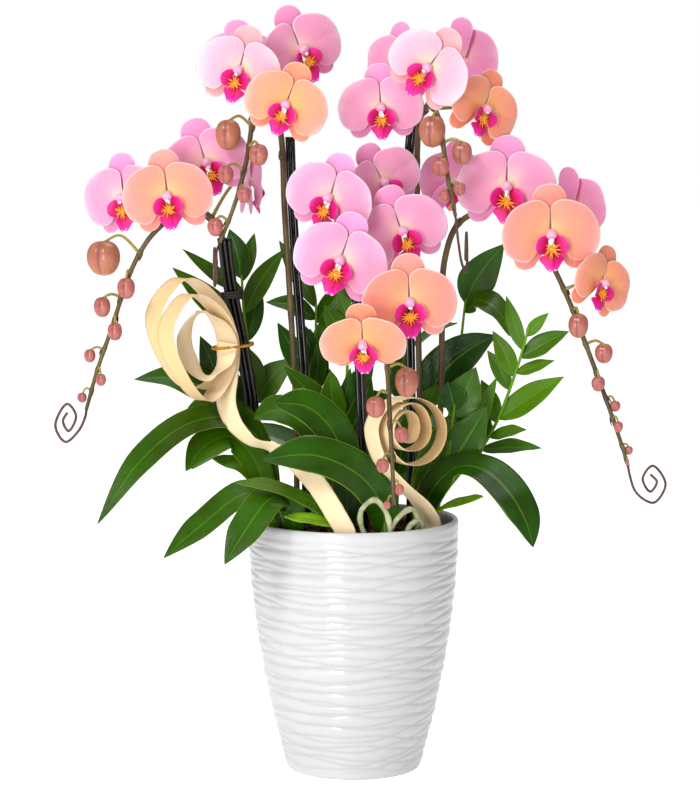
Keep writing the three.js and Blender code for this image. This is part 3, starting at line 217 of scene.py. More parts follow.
def moved(part, turn, place, size=1.0):
    """A skin made larger, turned by a matrix and set down at a place."""
    return {**part, "points": part["points"] * size @ turn.T + np.asarray(place, float)}


def turned(axis, degrees):
    """Matrix that turns by an angle round the x or the z axis."""
    c, s = math.cos(math.radians(degrees)), math.sin(math.radians(degrees))
    if axis == "x":
        return np.array([[1, 0, 0], [0, c, -s], [0, s, c]])
    return np.array([[c, -s, 0], [s, c, 0], [0, 0, 1]])


# Materials. Effects that several of them share are node groups.


def paint(code):
    """Colour from its six-digit code, each part brought from the screen's scale to a linear one."""
    parts = [int(code[i : i + 2], 16) / 255 for i in (1, 3, 5)]
    return [c / 12.92 if c < 0.04045 else ((c + 0.055) / 1.055) ** 2.4 for c in parts] + [1.0]


def put(tree, kind, inputs=None, **settings):
    """A node with its settings, each input joined to a socket or given a value."""
    node = tree.nodes.new(kind)
    for key, value in settings.items():
        setattr(node, key, value)
    for key, value in (inputs or {}).items():
        if isinstance(value, bpy.types.NodeSocket):
            tree.links.new(value, node.inputs[key])
        else:
            node.inputs[key].default_value = value
    return node


def sums(tree, operation, first, second=0.0, third=0.0):
    """One step of arithmetic on two or three numbers or sockets."""
    return put(tree, "ShaderNodeMath", {0: first, 1: second, 2: third}, operation=operation).outputs[0]


def blended(tree, mask, first, second):
    """Colour between two colours, as a mask says."""
    colours = [paint(c) if isinstance(c, str) else c for c in (first, second)]
    return put(tree, "ShaderNodeMix", {0: mask, 6: colours[0], 7: colours[1]}, data_type="RGBA").outputs[2]


def ramp(tree, value, stops):
    """Colour from a row of colours, picked by a value from 0 to 1."""
    node = put(tree, "ShaderNodeValToRGB", {0: value})
    band = node.color_ramp
    band.interpolation = "B_SPLINE" if len(stops) > 3 else "EASE"
    while len(band.elements) < len(stops):
        band.elements.new(0.5)
    for element, (place, code) in zip(band.elements, stops):
        element.position = place
        element.color = paint(code)
    return node.outputs[0]


def new_effect(name, inputs, build):
    """Node group with number inputs and one mask output, filled by a function of its tree and its inputs."""
    group = bpy.data.node_groups.new(name, "ShaderNodeTree")
    for label, value in inputs.items():
        socket = group.interface.new_socket(name=label, in_out="INPUT", socket_type="NodeSocketFloat")
        socket.default_value = value
    group.interface.new_socket(name="Mask", in_out="OUTPUT", socket_type="NodeSocketFloat")
    entry = group.nodes.new("NodeGroupInput")
    way_out = group.nodes.new("NodeGroupOutput")
    group.links.new(build(group, entry.outputs), way_out.inputs["Mask"])
    return group


def clouds_inside(tree, entry):
    """Noise at the place in the object, cut between a low and a high level."""
    spot = put(tree, "ShaderNodeTexCoord").outputs["Object"]
    noise = put(tree, "ShaderNodeTexNoise", {"Vector": spot, "Scale": entry["Scale"], "Detail": 4.0})
    return put(tree, "ShaderNodeMapRange", {0: noise.outputs[0], 1: entry["Low"], 2: entry["High"]}).outputs[0]


def lines_inside(tree, entry):
    """Noise on two marks, one of them multiplied far more than the other, so that it draws out into lines."""
    across = sums(tree, "MULTIPLY", entry["Across"], entry["Count"])
    along = sums(tree, "MULTIPLY", entry["Along"], entry["Length"])
    spot = put(tree, "ShaderNodeCombineXYZ", {0: across, 1: along, 2: entry["Seed"]}).outputs[0]
    noise = put(tree, "ShaderNodeTexNoise", {"Vector": spot, "Scale": 1.0, "Detail": 3.0})
    return put(tree, "ShaderNodeMapRange", {0: noise.outputs[0], 1: 0.38, 2: 0.66}).outputs[0]


def band_inside(tree, entry):
    """Falls smoothly from 1 where a value meets the centre to 0 at the width away from it."""
    away = sums(tree, "ABSOLUTE", sums(tree, "SUBTRACT", entry["Value"], entry["Centre"]))
    share = sums(tree, "DIVIDE", away, entry["Width"])
    inputs = {0: share, 1: 1.0, 2: 0.0}
    return put(tree, "ShaderNodeMapRange", inputs, interpolation_type="SMOOTHSTEP").outputs[0]


def specks_inside(tree, entry):
    """Round dots: the distance to the nearest of scattered points, cut a little past the dot's size."""
    spot = put(tree, "ShaderNodeTexCoord").outputs["Object"]
    cells = put(tree, "ShaderNodeTexVoronoi", {"Vector": spot, "Scale": entry["Scale"]})
    edge = sums(tree, "ADD", entry["Size"], 0.12)
    return put(tree, "ShaderNodeMapRange", {0: cells.outputs["Distance"], 1: edge, 2: entry["Size"]}).outputs[0]


CLOUDS = new_effect("Clouds", {"Scale": 40.0, "Low": 0.35, "High": 0.7}, clouds_inside)
LINES = new_effect("Fine lines", {"Across": 0.0, "Count": 30.0, "Along": 0.0, "Length": 3.0, "Seed": 0.0},
                   lines_inside)
BAND = new_effect("Narrow band", {"Value": 0.0, "Centre": 0.0, "Width": 0.1}, band_inside)
SPECKS = new_effect("Specks", {"Scale": 900.0, "Size": 0.2}, specks_inside)


class Finish:
    """A material on its way: its node tree, its shader, its tint so far, and short ways to add to them."""

    def __init__(self, name, **sockets):
        self.material = bpy.data.materials.new(name)
        self.material.use_nodes = True
        self.tree = self.material.node_tree
        self.shader = self.tree.nodes["Principled BSDF"]
        self.tint = None
        for label, value in sockets.items():
            self.shader.inputs[label.replace("_", " ")].default_value = value

    def mark(self, name):
        return put(self.tree, "ShaderNodeAttribute", attribute_name=name).outputs["Fac"]

    def effect(self, group, **inputs):
        node = self.tree.nodes.new("ShaderNodeGroup")
        node.node_tree = group
        for label, value in inputs.items():
            if isinstance(value, bpy.types.NodeSocket):
                self.tree.links.new(value, node.inputs[label])
            else:
                node.inputs[label].default_value = value
        return node.outputs["Mask"]

    def lay(self, mask, share, code):
        """Lays a colour over the tint, as far as a mask times a share says."""
        self.tint = blended(self.tree, sums(self.tree, "MULTIPLY", mask, share), self.tint, code)

    def roughness(self, mask, low, high):
        value = put(self.tree, "ShaderNodeMapRange", {0: mask, 3: low, 4: high}).outputs[0]
        self.tree.links.new(value, self.shader.inputs["Roughness"])

    def bump(self, height, distance, strength):
        node = put(self.tree, "ShaderNodeBump", {"Height": height, "Distance": distance, "Strength": strength})
        self.tree.links.new(node.outputs[0], self.shader.inputs["Normal"])

    def done(self):
        self.tree.links.new(self.tint, self.shader.inputs["Base Color"])
        return self.material


def cloudy_finish(name, clouds, first, second, layers=(), roughness=None, bump=None, **sockets):
    """Two colours blended in clouds. Each layer is an effect with its inputs, share and colour, and the bump
    follows the last effect."""
    finish = Finish(name, **sockets)
    last = finish.effect(CLOUDS, **clouds)
    finish.tint = blended(finish.tree, last, first, second)
    if roughness:
        finish.roughness(last, *roughness)
    for group, inputs, share, code in layers:
        last = finish.effect(group, **inputs)
        finish.lay(last, share, code)
    if bump:
        finish.bump(last, *bump)
    return finish.done()


def petal_finish(name, stops, rim, vein, back):
    """Petal: colours by the reach from the flower's heart, soft clouds, fine veins that fan out, a pale rim
    painted as a highlight.
    """
    finish = Finish(name, Roughness=0.5, Specular_IOR_Level=0.3, Subsurface_Weight=0.12, Subsurface_Scale=0.004,
                    Sheen_Weight=0.15)
    tree = finish.tree
    reach = sums(tree, "MULTIPLY", finish.mark("reach"), 2.0)
    clouds = finish.effect(CLOUDS, Scale=55.0, Low=0.3, High=0.75)
    drift = sums(tree, "MULTIPLY_ADD", clouds, 0.16, sums(tree, "SUBTRACT", reach, 0.08))
    finish.tint = ramp(tree, drift, stops)
    veins = finish.effect(LINES, Across=finish.mark("fan"), Count=26.0, Along=reach, Length=2.2)
    fade = finish.effect(BAND, Value=reach, Centre=0.42, Width=0.5)
    finish.lay(sums(tree, "MULTIPLY", veins, fade), 0.3, vein)
    # Painted highlight: a near-white band along the rim of each petal and sepal.
    finish.lay(finish.effect(BAND, Value=finish.mark("rim"), Centre=1.0, Width=0.07), 0.75, rim)
    finish.lay(sums(tree, "SUBTRACT", 1.0, finish.mark("front")), 0.35, back)
    finish.bump(veins, 0.0004, 0.35)
    return finish.done()


# Each kind of flower: the colours of petals and of sepals from the heart outward, then rim (a painted highlight),
# veins and back.
PETAL_COLOURS = {
    "pink": (
        [(0, "#f9d79a"), (0.14, "#fbd8c4"), (0.3, "#f5b0c6"), (0.6, "#f098be"), (0.85, "#f2a8ca"),
         (1, "#f8c8de")],
        [(0, "#f9c8a8"), (0.2, "#f7a2c6"), (0.5, "#f384be"), (1, "#f7a6d2")],
        "#fff4fb", "#ee7fc8", "#f3a2d4",
    ),
    "blush": (
        [(0, "#f9d796"), (0.14, "#fbdcbe"), (0.3, "#f9bfc9"), (0.6, "#f8b2cc"), (0.85, "#fac4d3"),
         (1, "#fcdbe0")],
        [(0, "#f9c8a4"), (0.2, "#f8a8a8"), (0.5, "#f6949e"), (1, "#fab4b6")],
        "#fff5f3", "#f07f9c", "#f6aeb4",
    ),
    "peach": (
        [(0, "#ffcc6c"), (0.14, "#fcc894"), (0.3, "#f6aa80"), (0.6, "#f29884"), (0.85, "#f19086"),
         (1, "#f7b0a6")],
        [(0, "#fbb880"), (0.2, "#fa9c80"), (0.5, "#f78a7c"), (1, "#faa298")],
        "#fff2ea", "#f5835f", "#f8ad94",
    ),
    "orange": (
        [(0, "#ffc658"), (0.14, "#fdbd76"), (0.3, "#fcac78"), (0.6, "#faa07e"), (0.85, "#f99884"),
         (1, "#fbb8a6")],
        [(0, "#fbac68"), (0.2, "#f98e62"), (0.5, "#f68460"), (1, "#f99a7e")],
        "#fff0e4", "#f07440", "#f8a071",
    ),
}


def flower_finishes(kind):
    """Finishes of a flower's petals and of its sepals."""
    petals, sepals, *rest = PETAL_COLOURS[kind]
    return [petal_finish(f"{kind}_petal", petals, *rest), petal_finish(f"{kind}_sepal", sepals, *rest)]


def lip_finish():
    """Lip: crimson round its heart, hot magenta further out, darker streaks, and a pale edge painted as a
    highlight.
    """
    finish = Finish("lip", Roughness=0.42, Specular_IOR_Level=0.35, Subsurface_Weight=0.08,
                    Subsurface_Scale=0.003)
    reach = finish.mark("reach")
    finish.tint = ramp(finish.tree, sums(finish.tree, "MULTIPLY", reach, 5.0),
                       [(0, "#b8001c"), (0.38, "#cc0a3c"), (0.62, "#e20c84"), (0.88, "#ef22ac"), (1, "#f64cc4")])
    streaks = finish.effect(LINES, Across=finish.mark("fan"), Count=9.0, Along=reach, Length=6.0)
    finish.lay(streaks, 0.35, "#b4005e")
    # Painted highlight: a pale pink band along the lip's edge.
    finish.lay(finish.effect(BAND, Value=finish.mark("rim"), Centre=1.0, Width=0.1), 0.45, "#fb8ad8")
    finish.bump(streaks, 0.0004, 0.4)
    return finish.done()


def column_finish():
    """Column: lilac pink that pales towards its cap, with faint clouds."""
    finish = Finish("column", Roughness=0.4, Subsurface_Weight=0.1, Subsurface_Scale=0.003)
    finish.tint = ramp(finish.tree, finish.mark("run"), [(0, "#f0a4c8"), (0.5, "#f3a8dc"), (1, "#f7c0ea")])
    finish.lay(finish.effect(CLOUDS, Scale=260.0, Low=0.3), 0.4, "#f9c8f2")
    return finish.done()


def leaf_finish(name, dark, light, young, edge, rib, roughness):
    """Leaf: deep green in clouds, fine veins along it, a thin bright edge that is partly its yellow-green margin
    and partly painted highlight, a mid rib, and a dull underside.
    """
    finish = Finish(name, Roughness=roughness, Specular_IOR_Level=0.26)
    across = finish.mark("across")
    away = sums(finish.tree, "ABSOLUTE", across)
    veins = finish.effect(LINES, Across=across, Count=16.0, Along=finish.mark("along"), Length=1.6)
    clouds = finish.effect(CLOUDS, Scale=28.0, Low=0.32, High=0.72)
    finish.tint = blended(finish.tree, clouds, dark, light)
    finish.lay(finish.mark("young"), 1.0, young)
    finish.lay(veins, 0.22, light)
    finish.lay(finish.effect(BAND, Value=across, Centre=0.0, Width=0.07), 0.55, rib)
    # The bright edge: partly the leaf's own yellow-green margin, partly a painted highlight.
    finish.lay(finish.effect(BAND, Value=away, Centre=1.0, Width=0.055), 0.75, edge)
    finish.lay(sums(finish.tree, "SUBTRACT", 1.0, finish.mark("top")), 0.5, light)
    finish.roughness(clouds, roughness - 0.05, roughness + 0.1)
    finish.bump(veins, 0.0005, 0.3)
    return finish.done()


def bud_finish():
    """Bud: dusty rose or tan, deeper in the seams, paler in clouds, greenish at the top, with fine veins."""
    finish = Finish("bud", Roughness=0.27, Specular_IOR_Level=0.5, Subsurface_Weight=0.1, Subsurface_Scale=0.004)
    tree = finish.tree
    along = finish.mark("along")
    rose = ramp(tree, along, [(0, "#c07c6c"), (0.45, "#b4605e"), (0.8, "#a3584e"), (1, "#94783e")])
    tan = ramp(tree, along, [(0, "#cf8c64"), (0.45, "#b06c4a"), (0.8, "#985c3c"), (1, "#8f783c")])
    finish.tint = blended(tree, finish.mark("ripe"), rose, tan)
    finish.lay(finish.effect(CLOUDS, Scale=120.0), 0.35, "#d48e78")
    veins = finish.effect(LINES, Across=finish.mark("fan"), Count=7.0, Along=along, Length=1.5)
    finish.lay(veins, 0.3, "#a4485a")
    finish.lay(finish.mark("seam"), 0.9, "#7a3040")
    finish.bump(veins, 0.0003, 0.3)
    return finish.done()


def cane_finish():
    """Cane: gloss black with faint scuffs."""
    finish = Finish("black_cane", Roughness=0.08, Specular_IOR_Level=0.5)
    scuffs = finish.effect(CLOUDS, Scale=180.0, Low=0.45, High=0.75)
    finish.tint = "#030303"
    finish.lay(scuffs, 0.5, "#0c0b0b")
    finish.roughness(scuffs, 0.07, 0.13)
    return finish.done()


def wire_finish(name, dark, light, metal, roughness):
    """Wire: two tones in fine clouds along it, duller where it is lighter."""
    return cloudy_finish(name, {"Scale": 320.0}, dark, light, roughness=(roughness, roughness + 0.15),
                         bump=(0.0002, 0.3), Metallic=metal)


def shaving_finish():
    """Wood shaving: cream with fine grain along the strip, tan on the inner face (partly its own tone, partly
    painted shade), browner at the cut edges.
    """
    finish = Finish("wood_shaving", Roughness=0.55, Specular_IOR_Level=0.3, Sheen_Weight=0.1)
    across, run = finish.mark("across"), finish.mark("run")
    # The tan inner face is partly the wood's own tone and partly painted shade.
    finish.tint = blended(finish.tree, finish.mark("inner"), "#fae3b8", "#f0cb8e")
    finish.lay(finish.effect(LINES, Across=across, Count=13.0, Along=run, Length=14.0), 0.25, "#ecc88e")
    fibres = finish.effect(LINES, Across=across, Count=60.0, Along=run, Length=60.0)
    finish.lay(fibres, 0.22, "#fae8c6")
    away = sums(finish.tree, "ABSOLUTE", across)
    finish.lay(finish.effect(BAND, Value=away, Centre=1.0, Width=0.07), 0.35, "#dcae6a")
    finish.bump(fibres, 0.0002, 0.4)
    return finish.done()


def bark_finish():
    """Bark: each chip has its own brown, with clouds and a rough grain."""
    finish = Finish("bark", Roughness=0.9, Specular_IOR_Level=0.25)
    finish.tint = ramp(finish.tree, finish.mark("tone"),
                       [(0, "#1c110b"), (0.4, "#3a2417"), (0.75, "#5b3a24"), (1, "#84603e")])
    clouds = finish.effect(CLOUDS, Scale=260.0)
    finish.lay(clouds, 0.5, "#23150d")
    finish.bump(clouds, 0.001, 0.7)
    return finish.done()


def glaze_finish():
    """Glaze: white, a breath greyer in wide clouds, with painted shade in the creases, under a clear gloss."""
    finish = Finish("white_glaze", Roughness=0.2, Specular_IOR_Level=0.5, Coat_Weight=0.5, Coat_Roughness=0.06)
    clouds = finish.effect(CLOUDS, Scale=9.0, Low=0.3)
    finish.tint = blended(finish.tree, clouds, "#d3d3d4", "#cdcdcf")
    # Painted shade: grey laid into the creases of the carving.
    finish.lay(finish.mark("crease"), 0.5, "#a9a9ae")
    finish.roughness(clouds, 0.16, 0.26)
    finish.bump(finish.effect(CLOUDS, Scale=60.0, Low=0.3), 0.0004, 0.3)
    return finish.done()


# Cream cap with a blush, and waxy orange callus with crimson dots.
CAP = cloudy_finish("cap", {"Scale": 420.0, "Low": 0.4}, "#fdf0ea", "#f7c3d6",
                    Roughness=0.35, Subsurface_Weight=0.1, Subsurface_Scale=0.002)
CALLUS = cloudy_finish("callus", {"Scale": 500.0, "High": 0.65}, "#f28a10", "#fbb42c",
                       [(SPECKS, {"Scale": 1100.0, "Size": 0.18}, 0.75, "#b8260c")],
                       Roughness=0.3, Subsurface_Weight=0.1, Subsurface_Scale=0.002)
# Olive brown stem with pale pores and a darker grain, and yellow olive stalks.
STEM = cloudy_finish("flower_stem", {"Scale": 26.0, "High": 0.65}, "#4a3520", "#6e6236",
                     [(SPECKS, {"Scale": 700.0, "Size": 0.1}, 0.4, "#a39a68"),
                      (CLOUDS, {"Scale": 420.0, "Low": 0.3}, 0.3, "#4b3420")],
                     bump=(0.0003, 0.4), Roughness=0.45, Specular_IOR_Level=0.4)
STALK = cloudy_finish("flower_stalk", {"Scale": 90.0}, "#9a9138", "#8a6c3c",
                      [(CLOUDS, {"Scale": 700.0, "Low": 0.3}, 0.25, "#c0b968")],
                      bump=(0.0002, 0.3), Roughness=0.45, Specular_IOR_Level=0.4)
# Grey green air root with silvery clouds and pale specks.
AIR_ROOT = cloudy_finish("air_root", {"Scale": 150.0}, "#9aa06e", "#c6cba6",
                         [(SPECKS, {"Scale": 620.0, "Size": 0.16}, 0.6, "#e6e8d2")],
                         bump=(0.0003, 0.4), Roughness=0.6, Specular_IOR_Level=0.35)


# Flowers. Their shapes are in shares of the spread: x to the viewer's right, y up, z out of the face.

PETAL = [
    (-0.008, 0), (-0.008, 0.08), (-0.003, 0.17), (-0.004, 0.25), (-0.045, 0.312), (-0.146, 0.342), (-0.33, 0.285),
    (-0.44, 0.175), (-0.495, 0.01), (-0.46, -0.175), (-0.36, -0.262), (-0.26, -0.288), (-0.19, -0.258),
    (-0.146, -0.19), (-0.09, -0.07),
]
DORSAL = [
    (0.05, 0.02), (0.11, 0.17), (0.165, 0.29), (0.17, 0.37), (0.11, 0.46), (0, 0.492), (-0.11, 0.46),
    (-0.17, 0.37), (-0.165, 0.29), (-0.11, 0.17), (-0.05, 0.02), (0, -0.01),
]
LATERAL = [
    (0.0, 0.0), (-0.1, -0.02), (-0.25, -0.1), (-0.345, -0.19), (-0.368, -0.27), (-0.34, -0.345),
    (-0.27, -0.376), (-0.18, -0.35), (-0.11, -0.26), (-0.04, -0.13),
]
SIDE_LOBE = [
    (-0.03, -0.045), (-0.06, -0.022), (-0.105, -0.03), (-0.142, -0.07), (-0.154, -0.12), (-0.142, -0.168),
    (-0.108, -0.198), (-0.07, -0.196), (-0.042, -0.165), (-0.028, -0.11),
]
MID_LOBE = [
    (0.05, -0.165), (0, -0.155), (-0.05, -0.165), (-0.062, -0.198), (-0.105, -0.22), (-0.116, -0.25),
    (-0.085, -0.288), (-0.062, -0.322), (-0.04, -0.35), (-0.018, -0.355), (0, -0.343), (0.018, -0.355),
    (0.04, -0.35), (0.062, -0.322), (0.085, -0.288), (0.116, -0.25), (0.105, -0.22), (0.062, -0.198),
]
LIP_HEART = (0.0, -0.15)


def petal_level(x, y):
    """Rises with the distance from the middle line, falls with its square and with the height squared, and
    dips along a soft channel from the heart."""
    level = 0.012 + 0.3 * np.abs(x) - 0.46 * x * x - 0.25 * (y - 0.02) ** 2
    return level - 0.01 * np.exp(-(((y - 0.02) / 0.05) ** 2)) * smooth(np.abs(x), 0.05, 0.2)


def sepal_level(x, y):
    """Lies behind the petals and falls with the square of the distance from the heart."""
    return -0.022 - 0.12 * (x * x + y * y)


def lobe_level(x, y):
    """Rises steeply from the column to the side, less and less, and curls in at its top and bottom."""
    return 0.06 + 0.95 * (np.abs(x) - 0.02) - 2.4 * (np.abs(x) - 0.02) ** 2 - 2.2 * (y + 0.11) ** 2


def tongue_level(x, y):
    """Comes forward towards the tip, falls away to both sides and has a low keel down its middle."""
    return 0.088 + 0.22 * (-y - 0.2) - 2.2 * x * x + 0.012 * np.exp(-((x / 0.016) ** 2))


def round_blade(outline, level, finish, flip, axis, heart=(0, 0), ripple=0.0, phase=0.0, around=52):
    """Thin blade within a closed outline: rings of the outline shrunk to its middle, on the level surface, half
    the thickness behind and before it, where the thickness falls to nothing at the rim."""
    ring = closed_outline(outline, around)
    if flip < 0:
        ring = (ring * [-1, 1])[::-1]
    middle = ring.mean(0)
    shares = np.array([0.14, 0.32, 0.5, 0.66, 0.79, 0.89, 0.96, 1.0])[:, None]
    x, y = (middle[k] + shares * (ring[:, k] - middle[k]) for k in (0, 1))
    turn = 2 * np.pi * np.arange(around) / around
    wave = ripple * shares**4 * (np.sin(3 * turn + phase) + 0.6 * np.sin(5 * turn + 2 * phase))
    half = BLADE_THICKNESS / 2 * np.sqrt(1 - shares**3)
    z = level(x, y) + wave
    back, front = np.stack([x, y, z - half], -1), np.stack([x, y, z + half], -1)[-2::-1]
    rings = np.concatenate([back, front])
    rim = np.broadcast_to(shares, x.shape)
    east, north = x * flip - heart[0] * flip, y - heart[1]
    along, across = east * axis[0] + north * axis[1], east * axis[1] - north * axis[0]
    fan = np.arctan2(across, np.maximum(along, 0.02))
    reach = np.hypot(east, north)
    marks = {mark: np.concatenate([values, values[-2::-1]])
             for mark, values in (("rim", rim), ("fan", fan), ("reach", reach))}
    marks["front"] = np.repeat([0.0, 1.0], [len(shares), len(shares) - 1])[:, None]
    centre = np.array([*middle, level(*middle)])
    lift = np.array([0, 0, BLADE_THICKNESS / 2])
    return skin(rings, marks, finish, tips=(centre - lift, centre + lift))


def callus_parts():
    """Egg-shaped middle with thirteen thin strands that bend outward and forward all round it."""
    heart = np.array([*LIP_HEART, 0.085])
    parts = [ball(heart, (0.034, 0.04, 0.03), 7, 12, 4)]
    for angle in np.linspace(0, 2 * np.pi, 13, endpoint=False) + chance.uniform(-0.15, 0.15, 13):
        reach = chance.uniform(0.055, 0.1)
        outward = np.array([math.cos(angle), math.sin(angle), 0])
        path = [heart + outward * 0.015 + [0, 0, 0.01], heart + outward * reach * 0.6 + [0, 0, 0.035],
                heart + outward * reach + [0, 0, 0.03 + chance.uniform(0, 0.02)]]
        parts.append(tube(spline(path, np.linspace(0, 1, 5)), np.linspace(0.0125, 0.003, 5), 6, 4))
    return parts


def flower_parts(phase):
    """All parts of one flower, in shares of its spread."""
    parts = [
        round_blade(PETAL, petal_level, 0, 1, (-1, 0.1), ripple=0.007, phase=phase),
        round_blade(PETAL, petal_level, 0, -1, (-1, 0.1), ripple=0.007, phase=phase + 2),
        round_blade(DORSAL, sepal_level, 1, 1, (0, 1), ripple=0.005, phase=phase + 1, around=40),
        round_blade(LATERAL, sepal_level, 1, 1, (-0.6, -0.8), ripple=0.005, phase=phase + 3, around=40),
        round_blade(LATERAL, sepal_level, 1, -1, (-0.6, -0.8), ripple=0.005, phase=phase + 4, around=40),
    ]
    lip = [
        round_blade(SIDE_LOBE, lobe_level, 2, 1, (-1, 0), LIP_HEART, 0.006, phase, 32),
        round_blade(SIDE_LOBE, lobe_level, 2, -1, (-1, 0), LIP_HEART, 0.006, phase + 1, 32),
        round_blade(MID_LOBE, tongue_level, 2, 1, (0, -1), LIP_HEART, 0.003, phase, 40),
    ]
    parts.extend(moved(part, np.eye(3), (0, 0.01, -0.008), LIP_SIZE) for part in lip)
    stub = spline([(0, 0, -0.12), (0, 0, -0.05), (0, 0.0, 0.01)], np.linspace(0, 1, 8))
    parts.append(tube(stub, np.linspace(0.018, 0.03, 8), 12, 3))
    hood = spline([(0, 0.012, 0.0), (0, 0.006, 0.05), (0, -0.01, 0.1), (0, -0.026, 0.122)], np.linspace(0, 1, 14))
    swell = np.interp(np.linspace(0, 1, 14), [0, 0.3, 0.7, 0.9, 1], [0.03, 0.044, 0.054, 0.046, 0.03])
    parts.append(tube(hood, swell, 18, 3))
    parts.append(ball((0, -0.05, 0.128), (0.024, 0.019, 0.016), 7, 12, 5))
    parts.extend(callus_parts())
    for way in (-1, 1):
        path = [(0.02 * way, -0.345, 0.118), (0.03 * way, -0.36, 0.126), (0.045 * way, -0.358, 0.134)]
        parts.append(tube(spline(path, np.linspace(0, 1, 6)), np.linspace(0.007, 0.003, 6), 6, 5))
    return parts


# Open flowers: name, place of the column's foot, spread, turn, nod, roll, colour and spike.
BLOOMS = [
    ("01", (-103, -72, 662), 82, -14, 4, 14, "blush", "a"),
    ("02", (-50, -30, 681), 86, 30, 2, -22, "pink", "a"),
    ("03", (-60, -104, 631), 78, -8, 6, 20, "orange", "a"),
    ("04", (-108, 6, 672), 76, 168, 0, 0, "pink", "a"),
    ("05", (-136, -56, 578), 84, 12, 4, -18, "pink", "b"),
    ("06", (-98, 12, 556), 76, 105, 0, 0, "pink", "b"),
    ("07", (-212, -36, 545), 84, -25, 3, -8, "pink", "b"),
    ("08", (-168, -94, 549), 84, -4, 4, -8, "peach", "b"),
    ("09", (43, -2, 668), 80, -45, 3, 0, "pink", "c"),
    ("10", (69, -74, 664), 82, -20, 3, 36, "blush", "c"),
    ("11", (104, 30, 674), 78, 140, 0, 0, "pink", "c"),
    ("12", (25, -38, 629), 80, 0, 12, -3, "pink", "c"),
    ("13", (119, -46, 627), 76, 32, 3, 24, "orange", "c"),
    ("14", (-21, -96, 547), 84, -18, 4, 18, "pink", "e"),
    ("15", (26, -48, 560), 78, 25, 6, -30, "pink", "e"),
    ("16", (43, -88, 517), 86, 10, 6, -20, "pink", "e"),
    ("17", (-11, -130, 493), 88, -10, 5, 18, "pink", "e"),
    ("18", (49, -154, 457), 86, 4, 6, -2, "peach", "e"),
    ("19", (8, -174, 423), 78, -2, 32, -3, "orange", "e"),
    ("20", (96, 26, 560), 76, -150, 0, 0, "pink", "d"),
    ("21", (141, -42, 556), 94, 0, 4, 2, "pink", "d"),
    ("22", (179, -84, 514), 91, 2, 6, -2, "peach", "d"),
    ("23", (207, 4, 533), 80, 130, 0, 8, "pink", "d"),
    ("24", (226, -72, 468), 72, 38, 4, 22, "orange", "d"),
]


def flower_turn(turn, nod, roll):
    """Matrix that stands a flower up, rolls it in its own plane, nods it and turns it to the side."""
    return turned("z", turn) @ turned("x", 90 + nod) @ turned("z", -roll)


finishes_of = {kind: flower_finishes(kind) for kind in PETAL_COLOURS}
heart_finishes = [lip_finish(), column_finish(), CALLUS, CAP]
for name, place, spread, turn, nod, roll, kind, _ in BLOOMS:
    matrix = flower_turn(turn, nod, roll)
    parts = [moved(part, matrix, place, spread) for part in flower_parts(chance.uniform(0, 6.28))]
    make_piece(f"flower_{name}", parts, finishes_of[kind] + heart_finishes, f"{kind}_petal", f"bloom_{name}")


# Flower spikes.

SPIKES = {
    "a": [
        (-52, 8, 186), (-54, 8, 260), (-55, 7, 350), (-60, 6, 446), (-65, 6, 531), (-68, 6, 600), (-74, 0, 628),
        (-82, -18, 640), (-89, -40, 634), (-93, -58, 612), (-97, -72, 583), (-104, -84, 553), (-112, -92, 529),
        (-121, -100, 506),
    ],
    "b": [
        (-70, 22, 186), (-76, 20, 245), (-88, 16, 300), (-97, 10, 352), (-106, 5, 402), (-117, 0, 462),
        (-124, -6, 508), (-136, -20, 528), (-150, -38, 534), (-164, -56, 530), (-176, -67, 520),
        (-189, -68, 506), (-205, -67, 477), (-221, -73, 429), (-235, -79, 388), (-245, -84, 352),
    ],
    "c": [
        (62, 14, 186), (64, 15, 281), (63, 15, 349), (61, 15, 445), (60, 14, 540), (60, 10, 590), (62, -4, 616),
        (68, -24, 628), (75, -44, 625), (80, -58, 608), (82, -68, 590), (85, -79, 568), (89, -89, 545),
        (92, -95, 530),
    ],
    "d": [
        (70, 12, 186), (78, 10, 260), (83, 10, 351), (84, 10, 427), (86, 8, 484), (98, 2, 518), (120, -8, 531),
        (146, -20, 530), (166, -32, 514), (180, -42, 490), (198, -52, 452), (216, -62, 405), (231, -70, 364),
        (245, -78, 323), (252, -83, 300),
    ],
    "e": [
        (12, -8, 186), (12, -9, 290), (9, -9, 370), (5, -9, 448), (3, -14, 490), (5, -28, 511), (10, -48, 512),
        (15, -64, 496), (19, -80, 470), (24, -98, 440), (29, -112, 408), (31, -122, 380), (33, -130, 339),
        (35, -137, 300), (36, -140, 272),
    ],
}

# Buds of each spike: the centre, the width and the height.
BUDS = {
    "a": [
        ((-114, -70, 603), 24, 27), ((-86, -86, 585), 18, 19), ((-116, -86, 567), 15, 16),
        ((-99, -95, 549), 13, 14), ((-125, -98, 520), 15, 16),
    ],
    "b": [
        ((-228, -76, 491), 32, 31), ((-208, -74, 463), 17, 19), ((-230, -76, 446), 16, 18),
        ((-218, -82, 424), 14, 16), ((-242, -74, 401), 11, 12), ((-231, -86, 380), 10, 11),
        ((-249, -80, 363), 9, 9),
    ],
    "c": [
        ((72, -66, 606), 25, 28), ((99, -68, 586), 19, 21), ((79, -84, 574), 17, 17), ((96, -86, 554), 12, 12),
        ((82, -94, 548), 9, 11), ((87, -100, 537), 5, 5),
    ],
    "d": [
        ((207, -64, 428), 19, 22), ((231, -60, 402), 17, 18), ((225, -72, 375), 13, 14),
        ((241, -70, 354), 10, 10),
        ((243, -80, 336), 9, 10), ((253, -78, 314), 8, 8), ((251, -86, 303), 4, 4),
    ],
    "e": [
        ((48, -124, 382), 22, 26), ((20, -130, 360), 18, 19), ((43, -132, 335), 13, 14),
        ((26, -139, 308), 12, 13),
        ((41, -138, 286), 9, 10), ((30, -143, 273), 7, 7),
    ],
}


